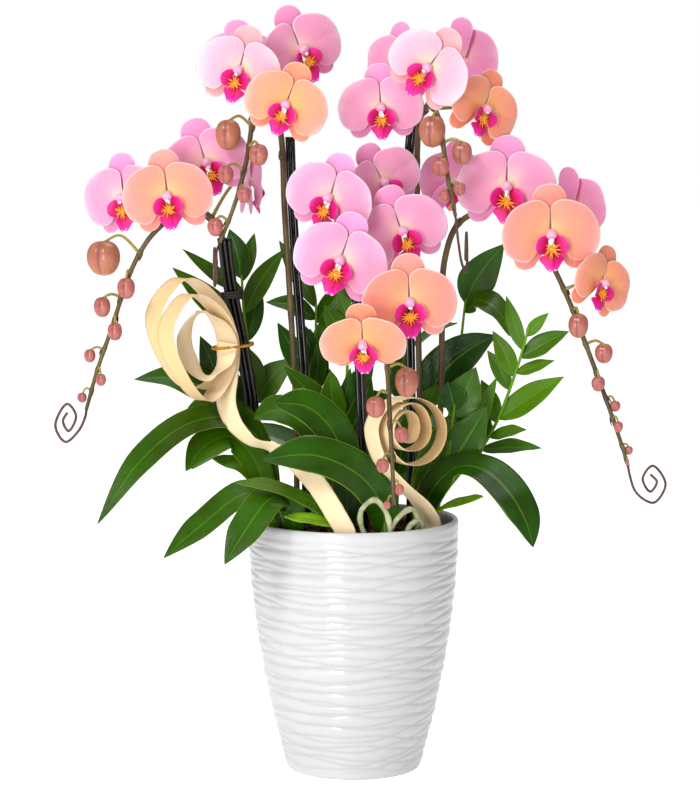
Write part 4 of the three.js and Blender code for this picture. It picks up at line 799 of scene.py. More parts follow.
def stem_radius(share):
    """The full radius up to a third of the way, then down to the tip's by a power of the rest."""
    thinning = (np.clip(np.asarray(share) - 0.35, 0, None) / 0.65) ** 1.3
    return STEM_RADIUS - (STEM_RADIUS - STEM_TIP_RADIUS) * thinning


def nearest_share(points, place):
    """Share of the curve's run at which it comes nearest to a place."""
    shares = np.linspace(0, 1, 201)
    return shares[np.argmin(np.linalg.norm(spline(points, shares) - place, axis=1))]


def stem_parts(key, joints):
    """Stem: a tube that swells by a bell curve at each joint, where a small scale clasps it."""
    shares = np.linspace(0, 1, 150)
    path = spline(SPIKES[key], shares)
    run = run_length(path)
    swell = np.zeros(len(shares))
    parts = []
    for joint in joints:
        at = np.interp(joint, shares, run)
        swell += 0.55 * np.exp(-(((run - at) / 2.6) ** 2))
    radii = stem_radius(shares) + np.minimum(swell, 0.8)
    parts.append(tube(path, radii, 14, 0))
    for k, joint in enumerate(joints):
        base = spline(SPIKES[key], [joint])[0]
        along = slope(SPIKES[key], [joint])[0]
        outward = unit(np.cross(along, [math.cos(k * 2.4), math.sin(k * 2.4), 0.1]))
        radius = float(stem_radius(joint))
        points = [base - along * 1.5 + outward * radius * 0.7, base + along * 2 + outward * (radius + 0.9),
                  base + along * 7 + outward * (radius + 1.3)]
        parts.append(leaf(points, radius * 1.15, outward, scale_outline, 0.6, -0.45, 8, 0.0))
    return parts


def bud_part(centre, width, height, turn):
    """Egg, wider above, with three grooves from top to bottom and a small point below: circles whose radius is
    a power of the sine, drawn in at the grooves by a bell curve of the angle."""
    rows, sides = 15, 30
    angle = np.linspace(0, np.pi, rows + 2)[1:-1, None]
    around = 2 * np.pi * np.arange(sides)[None] / sides
    groove = np.exp(-((((around + turn) * 3 / (2 * np.pi) % 1) - 0.5) / 0.055) ** 2)
    girth = np.sin(angle) ** 0.75 * (0.9 + 0.14 * angle / np.pi)
    radius = girth * (1 - 0.13 * groove) * (1 + 0.03 * np.cos(3 * (around + turn)))
    rise = -np.cos(angle) * (1 + 0.04 * (angle < 0.7))
    rings = np.stack([radius * np.cos(around) * width / 2, radius * np.sin(around) * width / 2,
                      np.broadcast_to(rise * height / 2, radius.shape)], -1) + np.asarray(centre, float)
    marks = {"seam": groove * np.sin(angle) ** 0.5, "along": angle / np.pi + 0 * around,
             "ripe": smooth(width, 14, 26) + 0 * groove,
             "fan": np.abs(((around + turn) * 3 / (2 * np.pi) % 1) - 0.5) + 0 * angle}
    ends = [np.asarray(centre, float) + [0, 0, way * height] for way in (-0.54, 0.5)]
    return skin(rings, marks, tips=ends)


def scale_outline(t):
    """Wide at the foot, then a straight run to a point."""
    return np.clip(1.05 - t, 0, 1) ** 0.7


def leaf(points, half_width, facing, outline, thickness, fold, steps, young, wave=0.0, phase=0.0):
    """Thin blade along a curve: each section runs from edge to edge over a channel that is deepest at the mid
    rib, and back below it. Its edges rise and fall in a slow wave."""
    half = 7
    t = 1 - (1 - np.linspace(0, 1, steps)) ** 1.35
    t = t[:-1]
    centre = spline(points, t)
    along = slope(points, t)
    side = unit(np.cross(along, unit(np.asarray(facing, float))))
    normal = unit(np.cross(side, along))
    v = np.linspace(-1, 1, 2 * half + 1)
    v = np.sign(v) * np.abs(v) ** 0.85
    v = np.concatenate([v, v[-2:0:-1]])[None, :, None]
    top = np.concatenate([np.ones(2 * half + 1), -np.ones(2 * half - 1)])[None, :, None]
    width = (half_width * outline(t))[:, None, None]
    spot = t[:, None, None]
    dip = -fold * width * (1 - np.abs(v) ** 1.4) - 0.035 * width * np.exp(-((v / 0.06) ** 2))
    flutter = wave * width * np.abs(v) ** 3 * np.sin(2 * np.pi * 2.3 * spot + phase + np.sign(v))
    body = top * thickness / 2 * np.sqrt(np.clip(1 - v * v, 0, 1))
    rings = centre[:, None] + side[:, None] * width * v + normal[:, None] * (dip + flutter + body)
    marks = {"across": v[:, :, 0], "along": t[:, None], "top": (top[:, :, 0] + 1) / 2, "young": young}
    return skin(rings, marks, tips=(None, spline(points, [1.0])[0]))


buds_finish = bud_finish()
for key, route in SPIKES.items():
    joints = [0.22, 0.36, 0.5]
    stalks = []
    buds = []
    for k, (centre, width, height) in enumerate(BUDS[key]):
        crown = np.array([centre[0], centre[1], centre[2] + height / 2 - 1.0])
        share = max(0, nearest_share(route, crown) - 0.008)
        joints.append(share)
        start = spline(route, [share])[0]
        middle = start + (crown - start) * 0.55
        middle[2] = max(start[2], crown[2]) + max(2, width * 0.18)
        stalk = spline([start, middle, crown], np.linspace(0, 1, 14))
        girth = min(1.3, 0.5 + width * 0.05)
        stalks.append(tube(stalk, girth * np.linspace(1.15, 0.9, 14), 10, 1))
        buds.append(bud_part(centre, width, height, 0.9 + 2.1 * k))
    for _, place, spread, turn, nod, roll, _, spike in BLOOMS:
        if spike != key:
            continue
        matrix = flower_turn(turn, nod, roll)
        behind, near, end = (
            matrix @ np.array([0, 0, -depth]) + place
            for depth in (0.26 * spread, 0.12 * spread + 5, 0.12 * spread + STALK_GAP)
        )
        share = nearest_share(route, behind)
        joints.append(share)
        start = spline(route, [share])[0]
        w = np.linspace(0, 1, 18)[:, None]
        bow = (1 - w) ** 2 * start + 2 * w * (1 - w) * behind + w * w * near
        path = np.vstack([bow, end])
        stalks.append(tube(path, np.interp(np.linspace(0, 1, 19), [0, 0.3, 1], [1.9, 1.5, 1.6]), 10, 1))
    make_piece(f"stem_{key}", stem_parts(key, joints) + stalks, [STEM, STALK], "flower_stem", f"spike_{key}")
    make_piece(f"buds_{key}", buds, [buds_finish], "blush_petal")


# Canes, support wires and ties.

CANES = {
    "a": (2, [(-45, 14, 186), (-46, 14, 350), (-51, 14, 431), (-57, 14, 518), (-60, 14, 600)]),
    "b": (3, [(-78, 7, 186), (-82, 6, 245), (-92, 2, 300), (-97, -2, 352), (-105, -6, 402), (-116, -11, 462),
              (-121, -16, 506)]),
    "c": (2, [(55, 24, 186), (55, 24, 350), (53, 23, 450), (52, 22, 575), (56, 21, 622)]),
    "e": (2, [(10, -20, 186), (9, -20, 290), (6, -20, 370), (3, -22, 450), (3, -23, 480)]),
}
cane = cane_finish()
for key, (rods, route) in CANES.items():
    parts = []
    for i in range(rods):
        offset = [(i - (rods - 1) / 2) * CANE_SPACING, (i % 2) * 0.8 - 0.4, 0]
        path = spline(route, np.linspace(0, 1, 60)) + offset
        run = run_length(path)
        rings = np.exp(-(((run + 37 * i) % 104 - 52) / 1.8) ** 2)
        parts.append(tube(path, CANE_RADIUS + 0.25 * rings, 16))
    make_piece(f"rods_{key}", parts, [cane], "black_cane", f"canes_{key}")

WIRE_ENDS = {
    "a": [(-124, -102, 498), (-124, -98, 486), (-124, -104, 474), (-125, -118, 468), (-125, -128, 478),
          (-125, -128, 494), (-125, -118, 502), (-124, -110, 494), (-124, -112, 483), (-124, -120, 484)],
    "b": [(-246, -86, 345), (-252, -88, 333), (-264, -88, 323), (-273, -88, 338), (-262, -88, 358),
          (-254, -88, 347), (-261, -88, 333), (-266, -88, 342), (-262, -88, 350)],
    "c": [(95, -92, 505), (98, -86, 488), (102, -78, 478), (104, -66, 486), (104, -64, 502), (103, -74, 514),
          (102, -82, 504), (102, -80, 490), (103, -72, 490)],
    "d": [(254, -83, 290), (258, -86, 278), (266, -88, 270), (276, -88, 267), (286, -88, 284), (274, -88, 301),
          (265, -88, 289), (272, -88, 277), (278, -88, 286), (272, -88, 293)],
}
WIRE_START = {"a": 9 / 16, "b": 10 / 16, "c": 9 / 16, "d": 0.0}
bronze = wire_finish("bronze_wire", "#4a332e", "#6d4e44", 0.35, 0.4)
for key, ends in WIRE_ENDS.items():
    shares = np.linspace(WIRE_START[key], 1, 80)
    along = slope(SPIKES[key], shares)
    back = unit(np.array([0.0, 1.0, 0.0]) - along * along[:, 1:2])
    stretch = spline(SPIKES[key], shares) + back * (stem_radius(shares) + WIRE_RADIUS + 0.65)[:, None]
    path = np.vstack([stretch, spline([stretch[-1], *ends], np.linspace(0, 1, 120))[1:]])
    make_piece(f"spiral_wire_{key}", [tube(path, WIRE_RADIUS, 10)], [bronze], "bronze_wire", f"wire_{key}")


def square_round(angle):
    """A circle drawn out towards its corners: the sine and cosine raised to the power 0.6."""
    c, s = np.cos(angle), np.sin(angle)
    return np.sign(c) * np.abs(c) ** 0.6, np.sign(s) * np.abs(s) ** 0.6


def black_tie():
    """Three turns of wire on each other round the canes, and two short ends."""
    angle = np.linspace(0, 6 * np.pi, 150)
    x, y = square_round(angle)
    path = np.stack([-114.4 + 9.6 * x, -10.2 + 5.3 * y, 452 + 0.6 * x + np.linspace(-3.3, 3.3, 150)], -1)
    end = np.array([(-104.8, -10.2, 455.3), (-104.6, -14.5, 457), (-106.5, -17.5, 460)])
    return [tube(path, 1.45, 8), tube(spline(end, np.linspace(0, 1, 10)), 1.2, 8)]


def gold_tie():
    """Two strands wound round each other along one flat loop."""
    angle = np.linspace(0, 2 * np.pi, 240, endpoint=False)
    x, y = square_round(angle)
    parts = []
    for phase in (0, np.pi):
        twist = 24 * angle + phase
        path = np.stack([-113.4 + (18.6 + 0.75 * np.cos(twist)) * x, -17.4 + (17 + 0.75 * np.cos(twist)) * y,
                         405 + 2 * x + 0.75 * np.sin(twist)], -1)
        parts.append(tube(path, 0.8, 7, closed=True))
    return parts


black = wire_finish("black_wire", "#0d0d0f", "#232326", 0.2, 0.35)
make_piece("wound_tie", black_tie(), [black], "black_wire", "black_tie")
gold = wire_finish("gold_twist", "#b4740f", "#e0a52c", 0.7, 0.28)
make_piece("twisted_tie", gold_tie(), [gold], "gold_twist", "gold_tie")


# Wood shavings, wound in coils. Each stop has its place and how far the broad side turns to the right.

RIBBON_LEFT = [
    (-6, -85, 218, 75), (-7, -86, 236, 75), (-17, -86, 256, 75), (-36, -80, 285, 70), (-54, -68, 302, 60),
    (-76, -58, 313, 50), (-96, -50, 320, 45), (-111, -43, 334, 50), (-119, -34, 352, 62), (-118, -22, 378, 80),
    (-117, -13, 406, 85), (-130, -20, 445, 66), (-159, -42, 470, 50), (-184, -56, 440, 50), (-178, -54, 404, 50),
    (-152, -38, 368, 56), (-124, -18, 376, 80), (-117, -17, 408, 85), (-130, -34, 441, 60), (-152, -60, 456, 48),
    (-172, -76, 425, 50), (-159, -74, 383, 50), (-138, -50, 357, 50), (-122, -24, 378, 70), (-118, -21, 406, 85),
    (-127, -31, 429, 50), (-142, -43, 438, 0), (-156, -56, 415, -40), (-150, -52, 392, -40),
    (-136, -42, 379, -15),
    (-122, -29, 388, 45), (-118, -26.5, 409, 85),
]
RIBBON_RIGHT_FOOT = [
    (72, -30, 218, 80), (73, -32, 236, 80), (64, -50, 258, 66), (43, -72, 282, 50), (24, -82, 305, 48),
]
# Left, top, right and bottom of each turn of the right coil, which closes in.
SPIRAL_QUARTERS = [
    (16, -84, 332), (49, -66, 362), (82, -50, 330), (53, -66, 299), (27, -80, 330), (50, -68, 357),
    (67, -61, 332),
    (50, -70, 313), (31, -78, 331), (46, -69, 350), (56, -65, 335), (47, -70, 321), (37, -74, 331),
]


def spiral_stops(quarters):
    """Each quarter turn is a quarter of an ellipse: by turns it leaves upright and comes in level, and the
    reverse. The strip turns less where it lies deeper."""
    stops = []
    for i, (p, q) in enumerate(zip(quarters, quarters[1:])):
        for share in (0, 0.25, 0.5, 0.75):
            c, d = math.cos(share * math.pi / 2), math.sin(share * math.pi / 2)
            upright = (q[0] + (p[0] - q[0]) * c, p[2] + (q[2] - p[2]) * d)
            level = (p[0] + (q[0] - p[0]) * d, q[2] + (p[2] - q[2]) * c)
            x, z = level if i % 2 else upright
            deep = p[1] + (q[1] - p[1]) * share
            stops.append((x, deep, z, COIL_TURN - TURN_PER_MM * (deep + COIL_FRONT)))
    return stops + [(*quarters[-1], COIL_TURN)]


def shaving(stops):
    """Thin flat strip along a curve: its broad side stands across the route, turned from the depth axis, with
    a little cup across it and a faint flutter at its edges."""
    stops = np.asarray(stops, float)
    count = 420
    t = np.linspace(0, 1, count)
    centre, along = spline(stops[:, :3], t), slope(stops[:, :3], t)
    turn = np.radians(np.interp(t * (len(stops) - 1), np.arange(len(stops)), stops[:, 3]))
    across = np.stack([np.sin(turn), -np.cos(turn), 0 * turn], -1)
    across = unit(across - along * (across * along).sum(1, keepdims=True))
    through = unit(np.cross(along, across))
    v = np.linspace(-1, 1, 9)
    v = np.concatenate([v, v[::-1]])[None, :, None]
    face = np.repeat([-1.0, 1.0], 9)[None, :, None]
    run = run_length(centre)[:, None, None]
    flutter = 0.25 * np.sin(run / 23) * v**3
    cup = 0.5 * (v**2 - 0.4)
    edge = 1 + 0.006 * np.sin(run / 3.1) + 0.006 * np.sin(run / 1.7 + 1)
    rings = (centre[:, None] + across[:, None] * v * SHAVING_WIDTH / 2 * edge
             + through[:, None] * (face * SHAVING_THICKNESS / 2 * (1 - 0.5 * v**8) + cup + flutter))
    # The inner mark picks the face that is tinted tan, which is partly painted shade.
    marks = {"across": v[:, :, 0], "run": run[:, :, 0] * MM, "inner": (face[:, :, 0] + 1) / 2}
    return skin(rings, marks)


shaving_colour = shaving_finish()
make_piece("shaving_left", [shaving(RIBBON_LEFT)], [shaving_colour], "wood_shaving", "ribbon_left")
right_stops = RIBBON_RIGHT_FOOT + spiral_stops(SPIRAL_QUARTERS)
make_piece("shaving_right", [shaving(right_stops)], [shaving_colour], "wood_shaving", "ribbon_right")


# Leaves.


def strap_outline(t):
    """Half-width of a strap-shaped leaf: a long rounded arch, a little more at the foot, and a bluntly pointed
    tip where it falls as a power of what is left."""
    t = np.clip(t, 0, 1)
    arch = np.sqrt(np.clip(1 - np.abs(2 * t**1.3 - 1) ** 2.2, 0, 1))
    return (0.3 * (1 - t) ** 4 + 1.06 * arch) * np.clip((1 - t) / 0.2, 0, 1) ** 0.4


def leaflet_outline(t):
    """Half-width of a pointed leaflet: a power of a sine, drawn out to a narrow tip."""
    t = np.clip(t, 0, 1)
    return 0.12 * (1 - t**3) + 1.22 * np.clip(np.sin(np.pi * t**0.8), 0, 1) ** 0.95


# Orchid plants: the crown's place, then each leaf's route, half-width, facing and youth.
ORCHID_PLANTS = {
    "orchid_leaves_front_left": ((-56, -56), [
        ([(-58, -54, 232), (-72, -60, 266), (-100, -78, 275), (-138, -98, 250), (-173, -116, 220)],
         15, (-0.2, -0.7, 0.7), 0.1),
        ([(-54, -60, 232), (-60, -72, 268), (-77, -92, 272), (-98, -112, 247), (-117, -127, 216)],
         16, (-0.1, -0.75, 0.65), 0.1),
    ]),
    "orchid_leaves_left": ((-76, -14), [
        ([(-78, -12, 234), (-88, -12, 300), (-106, -18, 335), (-150, -50, 338), (-195, -90, 307),
          (-233, -118, 251)], 14, (0, -0.75, 0.65), 0.1),
        ([(-77, -18, 237), (-92, -21, 296), (-114, -25, 321), (-138, -42, 315), (-156, -58, 292)],
         15, (0, -0.8, 0.6), 0.15),
        ([(-72, -15, 231), (-80, -12, 300), (-106, -11, 344), (-138, -24, 352), (-159, -34, 343)],
         8, (0.3, -0.8, 0.5), 0.1),
        ([(-80, -14, 262), (-104, -26, 292), (-132, -38, 301)], 10, (0, -0.6, 0.8), 0.3),
    ]),
    "orchid_leaves_middle": ((-6, -42), [
        ([(-6, -44, 234), (-8, -50, 296), (-20, -57, 332), (-44, -65, 354), (-75, -72, 357)],
         17, (0.1, -0.85, 0.5), 0.05),
        ([(-8, -40, 236.5), (-28, -26, 312), (-50, -28, 340), (-72, -30, 347), (-94, -34, 338)],
         15, (0, -0.8, 0.6), 0.1),
        ([(-9, -45, 231.5), (-28, -66, 256), (-52, -74, 272), (-80, -90, 284), (-108, -98, 287)],
         9, (0, -0.6, 0.8), 0.25),
        ([(-5, -46, 230), (-22, -74, 246), (-42, -84, 252), (-64, -88, 254)], 8, (0, -0.5, 0.85), 0.9),
    ]),
    "orchid_leaf_front": ((30, -50), [
        ([(30, -52, 234), (26, -60, 262), (6, -80, 292), (-36, -98, 313), (-84, -104, 309)],
         19, (0.1, -0.85, 0.5), 0.05),
    ]),
    "orchid_leaves_right": ((60, -8), [
        ([(62, -10, 234), (76, -26, 274), (98, -44, 296), (120, -64, 296), (143, -88, 278), (157, -106, 254),
          (163, -118, 230)], 18, (0.2, -0.7, 0.7), 0.05),
        ([(62, -12, 232), (84, -40, 256), (102, -56, 264), (120, -68, 270)], 8, (0, -0.5, 0.85), 0.5),
        ([(60, -8, 236), (66, -12, 276), (78, -20, 304), (88, -28, 318)], 9, (0, -0.9, 0.3), 0.1),
        ([(60, -6, 236), (73, -3, 290), (94, -2, 322), (116, -4, 338)], 15, (0, -0.85, 0.5), 0.1),
    ]),
    "orchid_leaves_back": ((6, 62), [
        ([(8, 62, 234), (24, 76, 290), (54, 104, 322), (92, 136, 306), (120, 158, 270)], 18, (0.2, 0.7, 0.7),
         0.1),
        ([(2, 64, 234), (-12, 84, 296), (-30, 122, 330), (-44, 162, 318), (-54, 194, 284)],
         19, (-0.1, 0.7, 0.7), 0.05),
        ([(0, 60, 234), (-36, 70, 286), (-84, 84, 312), (-128, 96, 300), (-160, 104, 272)],
         17, (-0.3, 0.6, 0.75), 0.15),
        ([(10, 58, 234), (26, 50, 290), (28, 54, 334), (10, 62, 356)], 14, (0, -0.9, 0.4), 0.1),
    ]),
}


def pot_radius(z):
    """Planter's outer radius: the rim's less a taper times a power of the depth below the rim."""
    depth = np.clip(1 - np.asarray(z, float) / POT_HEIGHT, 0, 1)
    return RIM_RADIUS - (RIM_RADIUS - FOOT_RADIUS) * depth**1.85


def mix_level(radius):
    """Height of the mix: a low cone that falls to its edge at the planter's wall."""
    return MIX_EDGE + 5 * (1 - radius / (float(pot_radius(MIX_EDGE)) - POT_WALL))


orchid_green = leaf_finish("orchid_leaf", "#072300", "#1f5600", "#86bb14", "#b4cc36", "#5f9a18", 0.22)
for name, (foot, leaves) in ORCHID_PLANTS.items():
    floor = mix_level(math.hypot(*foot))
    crown = spline([(*foot, floor - 24), (*foot, floor + 2), (*foot, floor + 16)], np.linspace(0, 1, 10))
    swell = np.interp(np.linspace(0, 1, 10), [0, 0.6, 1], [4.5, 6, 4])
    parts = [tube(crown, swell, 14, across=0.5, top=1.0, young=0.35)]
    for k, (points, half_width, facing, young) in enumerate(leaves):
        parts.append(leaf(points, half_width, facing, strap_outline, ORCHID_LEAF_THICKNESS, 0.16, 36, young,
                          wave=0.05, phase=1.7 * k))
    make_piece(name.replace("orchid", "strap"), parts, [orchid_green], "orchid_leaf", name)

# Leafy sprigs: the stem's route, the youth, then each leaflet's route, half-width and facing.
SPRIGS = {
    "sprig_right_tall": (0.1, [(62, 42, 186), (78, 46, 266), (98, 50, 360), (108, 50, 445)], [
        ([(108, 50, 440), (121, 46, 467), (144, 40, 498)], 14, (0.3, -0.9, 0.2)),
        ([(106, 50, 430), (121, 40, 446), (140, 30, 434), (149, 24, 410)], 12, (0.2, -0.6, 0.75)),
        ([(95, 49, 350), (78, 42, 362), (94, 36, 385), (116, 34, 401), (137, 32, 411)], 17, (-0.2, -0.9, 0.35)),
    ]),
    "sprig_right_inner": (0.1, [(78, -14, 186), (80, -14, 250), (88, -14, 293), (93, -14, 330), (96, -12, 356)], [
        ([(88, -14, 286), (104, -20, 313), (125, -26, 349)], 15, (0.1, -0.9, 0.4)),
        ([(95, -13, 336), (104, -15, 359), (115, -16, 385)], 13, (0.1, -0.95, 0.2)),
        ([(96, -13, 344), (92, -18, 357), (88, -22, 372)], 10, (-0.1, -0.9, 0.3)),
    ]),
    "sprig_right_outer": (0.35, [(68, 26, 186), (80, 25, 246), (104, 20, 282), (122, 15, 304), (137, 9, 332),
                                 (151, 1, 371), (160, -6, 402), (165, -10, 423)], [
        ([(158, -5, 399), (151, -2, 426), (144, 2, 451)], 5.5, (-0.2, -0.9, 0.2)),
        ([(164, -9, 412), (172, -12, 425), (183, -16, 436)], 4.5, (0.1, -0.9, 0.4)),
        ([(157, -4, 392), (180, -12, 408), (202, -20, 419)], 8, (0.1, -0.8, 0.55)),
        ([(153, -1, 377), (171, -8, 385), (189, -14, 391)], 6, (0, -0.7, 0.7)),
        ([(153, 0, 374), (143, 6, 396), (132, 12, 417)], 7, (-0.1, -0.9, 0.3)),
        ([(147, 3, 362), (138, 9, 382), (127, 16, 398)], 6, (-0.1, -0.9, 0.3)),
        ([(139, 8, 335), (167, -4, 356), (198, -16, 376)], 10, (0.1, -0.8, 0.55)),
        ([(137, 9, 330), (130, 18, 350), (122, 26, 369)], 7, (0, -0.9, 0.3)),
        ([(124, 14, 308), (122, 22, 327), (122, 28, 350)], 8, (0, -0.9, 0.2)),
        ([(129, 13, 318), (147, 4, 322), (164, -2, 324)], 7, (0, -0.6, 0.8)),
        ([(122, 16, 304), (150, 4, 308), (178, -8, 307)], 8, (0, -0.6, 0.8)),
        ([(108, 20, 290), (121, 10, 338), (136, 4, 374)], 7, (0.1, -0.95, 0.2)),
    ]),
    "sprig_left_tall": (0.15, [(-72, 36, 186), (-84, 36, 262), (-95, 36, 349), (-101, 36, 400), (-105, 37, 432),
                               (-107, 37, 468)], [
        ([(-106, 37, 452), (-132, 32, 470), (-163, 24, 494)], 6, (-0.1, -0.8, 0.55)),
        ([(-103, 36, 412), (-137, 26, 445), (-172, 14, 477)], 10, (-0.1, -0.85, 0.5)),
        ([(-107, 37, 464), (-112, 42, 490), (-119, 46, 512)], 9, (-0.1, -0.95, 0.2)),
        ([(-106, 38, 462), (-100, 44, 488), (-95, 50, 508)], 5.5, (0.1, -0.95, 0.2)),
        ([(-104, 37, 432), (-88, 42, 464), (-66, 48, 493)], 8, (0.2, -0.9, 0.3)),
        ([(-102, 37, 404), (-95, 44, 433), (-90, 50, 461)], 7, (0.1, -0.95, 0.2)),
        ([(-94, 36, 346), (-80, 42, 369), (-56, 48, 388)], 11, (0.1, -0.8, 0.6)),
        ([(-98, 37, 376), (-116, 34, 392), (-132, 30, 398)], 8, (-0.1, -0.7, 0.7)),
        ([(-93, 36, 336), (-114, 20, 354), (-142, 6, 366), (-174, -4, 375), (-207, -14, 373)], 15,
         (0, -0.8, 0.6)),
        ([(-94, 36, 350), (-96, 34, 378), (-103, 33, 401)], 8, (-0.1, -0.95, 0.2)),
        ([(-90, 36, 330), (-128, 22, 372), (-146, 14, 412)], 12, (-0.1, -0.95, 0.2)),
    ]),
    "sprig_middle_left": (0.1, [(-46, 38, 186), (-45, 44, 270), (-41, 48, 340), (-37, 50, 386), (-36, 50, 440)], [
        ([(-36, 50, 426), (-59, 44, 440), (-84, 38, 442)], 8, (-0.1, -0.8, 0.6)),
        ([(-36, 50, 438), (-56, 58, 474), (-72, 64, 500)], 7, (-0.2, -0.9, 0.3)),
        ([(-38, 49, 366), (-57, 42, 394), (-73, 36, 423)], 9, (-0.2, -0.9, 0.3)),
        ([(-39, 49, 352), (-34, 50, 382), (-42, 54, 416)], 8, (0.2, -0.9, 0.2)),
        ([(-36, 51, 420), (-18, 56, 444), (0, 60, 470)], 8, (0.2, -0.9, 0.3)),
        ([(-39, 46, 378), (-43, 44, 400), (-52, 42, 424)], 8, (-0.1, -0.95, 0.2)),
        ([(-37, 50, 395), (-26, 52, 414), (-20, 56, 437)], 8, (0.1, -0.95, 0.2)),
        ([(-40, 46, 355), (-34, 42, 380), (-36, 40, 403)], 6, (0.1, -0.95, 0.2)),
    ]),
    "sprig_middle_front": (0.15, [(-22, -6, 186), (-20, -5, 262), (-18, -4, 330), (-19, -3, 352)], [
        ([(-18, -5, 322), (-38, -14, 356), (-66, -24, 387)], 10, (-0.1, -0.85, 0.5)),
        ([(-18, -6, 324), (-20, -14, 352), (-22, -20, 382)], 10, (0.1, -0.95, 0.2)),
        ([(-18, -4, 330), (-8, -9, 356), (-3, -12, 384)], 6, (0.2, -0.9, 0.2)),
    ]),
    "sprig_middle_back": (0.1, [(-14, 34, 186), (-10, 38, 290), (-6, 42, 380), (-4, 44, 444)], [
        ([(-4, 44, 440), (-2, 46, 456), (-4, 50, 474)], 6, (0, -0.95, 0.2)),
        ([(-5, 43, 408), (-18, 38, 424), (-28, 32, 440)], 7, (-0.1, -0.9, 0.3)),
        ([(-6, 42, 388), (8, 38, 414), (20, 32, 440)], 9, (0.1, -0.9, 0.3)),
        ([(-8, 40, 340), (6, 36, 366), (20, 30, 392)], 8, (0.2, -0.9, 0.3)),
        ([(-5, 44, 420), (6, 58, 440), (14, 74, 450)], 8, (0.1, 0.6, 0.75)),
        ([(-8, 41, 350), (-24, 60, 372), (-34, 78, 384)], 9, (-0.1, 0.6, 0.75)),
        ([(-5, 43, 401), (-7, 42, 428), (-15, 40, 457)], 8, (-0.1, -0.95, 0.2)),
        ([(-8, 40, 323), (-3, 34, 350), (0, 30, 377)], 7, (0.1, -0.95, 0.2)),
        ([(-9, 38, 309), (8, 26, 341), (17, 20, 374)], 8, (0.1, -0.9, 0.3)),
        ([(-11, 38, 280), (-1, 26, 308), (12, 16, 335)], 9, (0.1, -0.9, 0.3)),
        ([(-11, 37, 272), (-23, 28, 300), (-24, 22, 330)], 8, (-0.1, -0.9, 0.3)),
    ]),
    "sprig_right_back": (0.15, [(40, 52, 186), (44, 60, 280), (52, 70, 360), (58, 76, 420)], [
        ([(58, 76, 416), (66, 84, 444), (78, 90, 470)], 9, (0, 0.9, 0.4)),
        ([(56, 74, 396), (78, 84, 412), (102, 92, 418)], 9, (0.1, 0.5, 0.8)),
        ([(52, 70, 362), (34, 88, 384), (16, 100, 396)], 10, (-0.1, 0.6, 0.75)),
        ([(49, 66, 330), (74, 84, 346), (100, 98, 346)], 10, (0.1, 0.5, 0.8)),
        ([(57, 75, 406), (44, 64, 432), (36, 56, 456)], 8, (-0.2, -0.9, 0.3)),
        ([(50, 68, 345), (46, 50, 372), (53, 46, 407)], 11, (0, -0.95, 0.2)),
        ([(47, 64, 307), (66, 44, 339), (86, 36, 366)], 9, (0.1, -0.9, 0.3)),
        ([(45, 60, 278), (62, 44, 301), (83, 36, 323)], 11, (0.1, -0.9, 0.3)),
        ([(45, 60, 268), (45, 40, 298), (36, 30, 324)], 8, (-0.1, -0.9, 0.3)),
        ([(45, 58, 264), (55, 44, 282), (64, 37, 299)], 8, (0, -0.8, 0.5)),
    ]),
}

sprig_green = leaf_finish("sprig_leaf", "#082500", "#245e00", "#78b010", "#b0cc36", "#6fa624", 0.2)
for name, (youth, route, leaflets) in SPRIGS.items():
    stem = spline(route, np.linspace(0, 1, 60))
    parts = [tube(stem, np.linspace(2.2, 1.2, 60), 12, across=0.5, top=1.0, young=0.75)]
    for k, (points, half_width, facing) in enumerate(leaflets):
        root = stem[np.argmin(np.linalg.norm(stem - np.asarray(points[0]), axis=1))]
        young = np.clip(youth + 0.12 * math.sin(2.3 * k), 0, 1)
        route_out = [root, *points[1:]]
        parts.append(leaf(route_out, half_width, facing, leaflet_outline, SPRIG_LEAF_THICKNESS, 0.2, 24, young,
                          wave=0.05, phase=2.1 * k))
    make_piece(name.replace("sprig", "leafy_sprig"), parts, [sprig_green], "sprig_leaf", name)


# Air roots.

ROOTS = [
    [(14, -80, 225), (6, -82, 250), (8, -81, 260), (19, -79, 268), (28, -80, 260), (33, -81, 246),
     (34, -81, 225)],
    [(33, -80, 240), (42, -76, 252), (52, -70, 258), (58, -62, 252), (58, -58, 225)],
    [(46, -72, 225), (52, -70, 242), (60, -62, 246), (64, -56, 240), (64, -54, 225)],
]
root_parts = []
for k, points in enumerate(ROOTS):
    path = spline(points, np.linspace(0, 1, 60))
    knots = 0.22 * np.sin(run_length(path) / 3.7 + k) + 0.15 * np.sin(run_length(path) / 1.9)
    root_parts.append(tube(path, ROOT_RADIUS + knots, 14))
make_piece("arching_roots", root_parts, [AIR_ROOT], "air_root", "air_roots")


# Potting mix: a bumpy dome of dark bark with loose chips, down to the planter's floor.


def mix_body():
    """Dome and drum: rings from the floor up the inner wall, then inward over the dome, whose height adds sums
    of sines to the slow rise."""
    around = 2 * np.pi * np.arange(96) / 96
    heights = np.array([9.5, 15.5, 50, 90, 130, 180, MIX_EDGE - 1])
    walls = pot_radius(heights) - POT_WALL - 1.4
    walls[0] -= 6
    radius = np.concatenate([walls, walls[-1] - np.array([1.5, 4]), np.linspace(0.93, 0.03, 30) * walls[-1]])
    level = np.concatenate([heights, mix_level(radius[len(heights):])])
    x, y = radius[:, None] * np.cos(around), radius[:, None] * np.sin(around)
    lumps = np.sin(x / 4.1 + 1) * np.sin(y / 3.7) + 0.7 * np.sin(x / 1.9 + y / 2.3)
    lumps = lumps + 0.5 * np.sin(y / 1.3 - x / 2.9)
    top = np.concatenate([np.zeros(len(heights)), [0.2, 0.6], np.ones(30)])[:, None]
    rings = np.stack([x, y, level[:, None] + top * (1.1 * lumps - 1.6)], -1)
    tone = 0.32 + 0.12 * lumps
    return skin(rings, {"tone": np.clip(tone, 0, 1)})


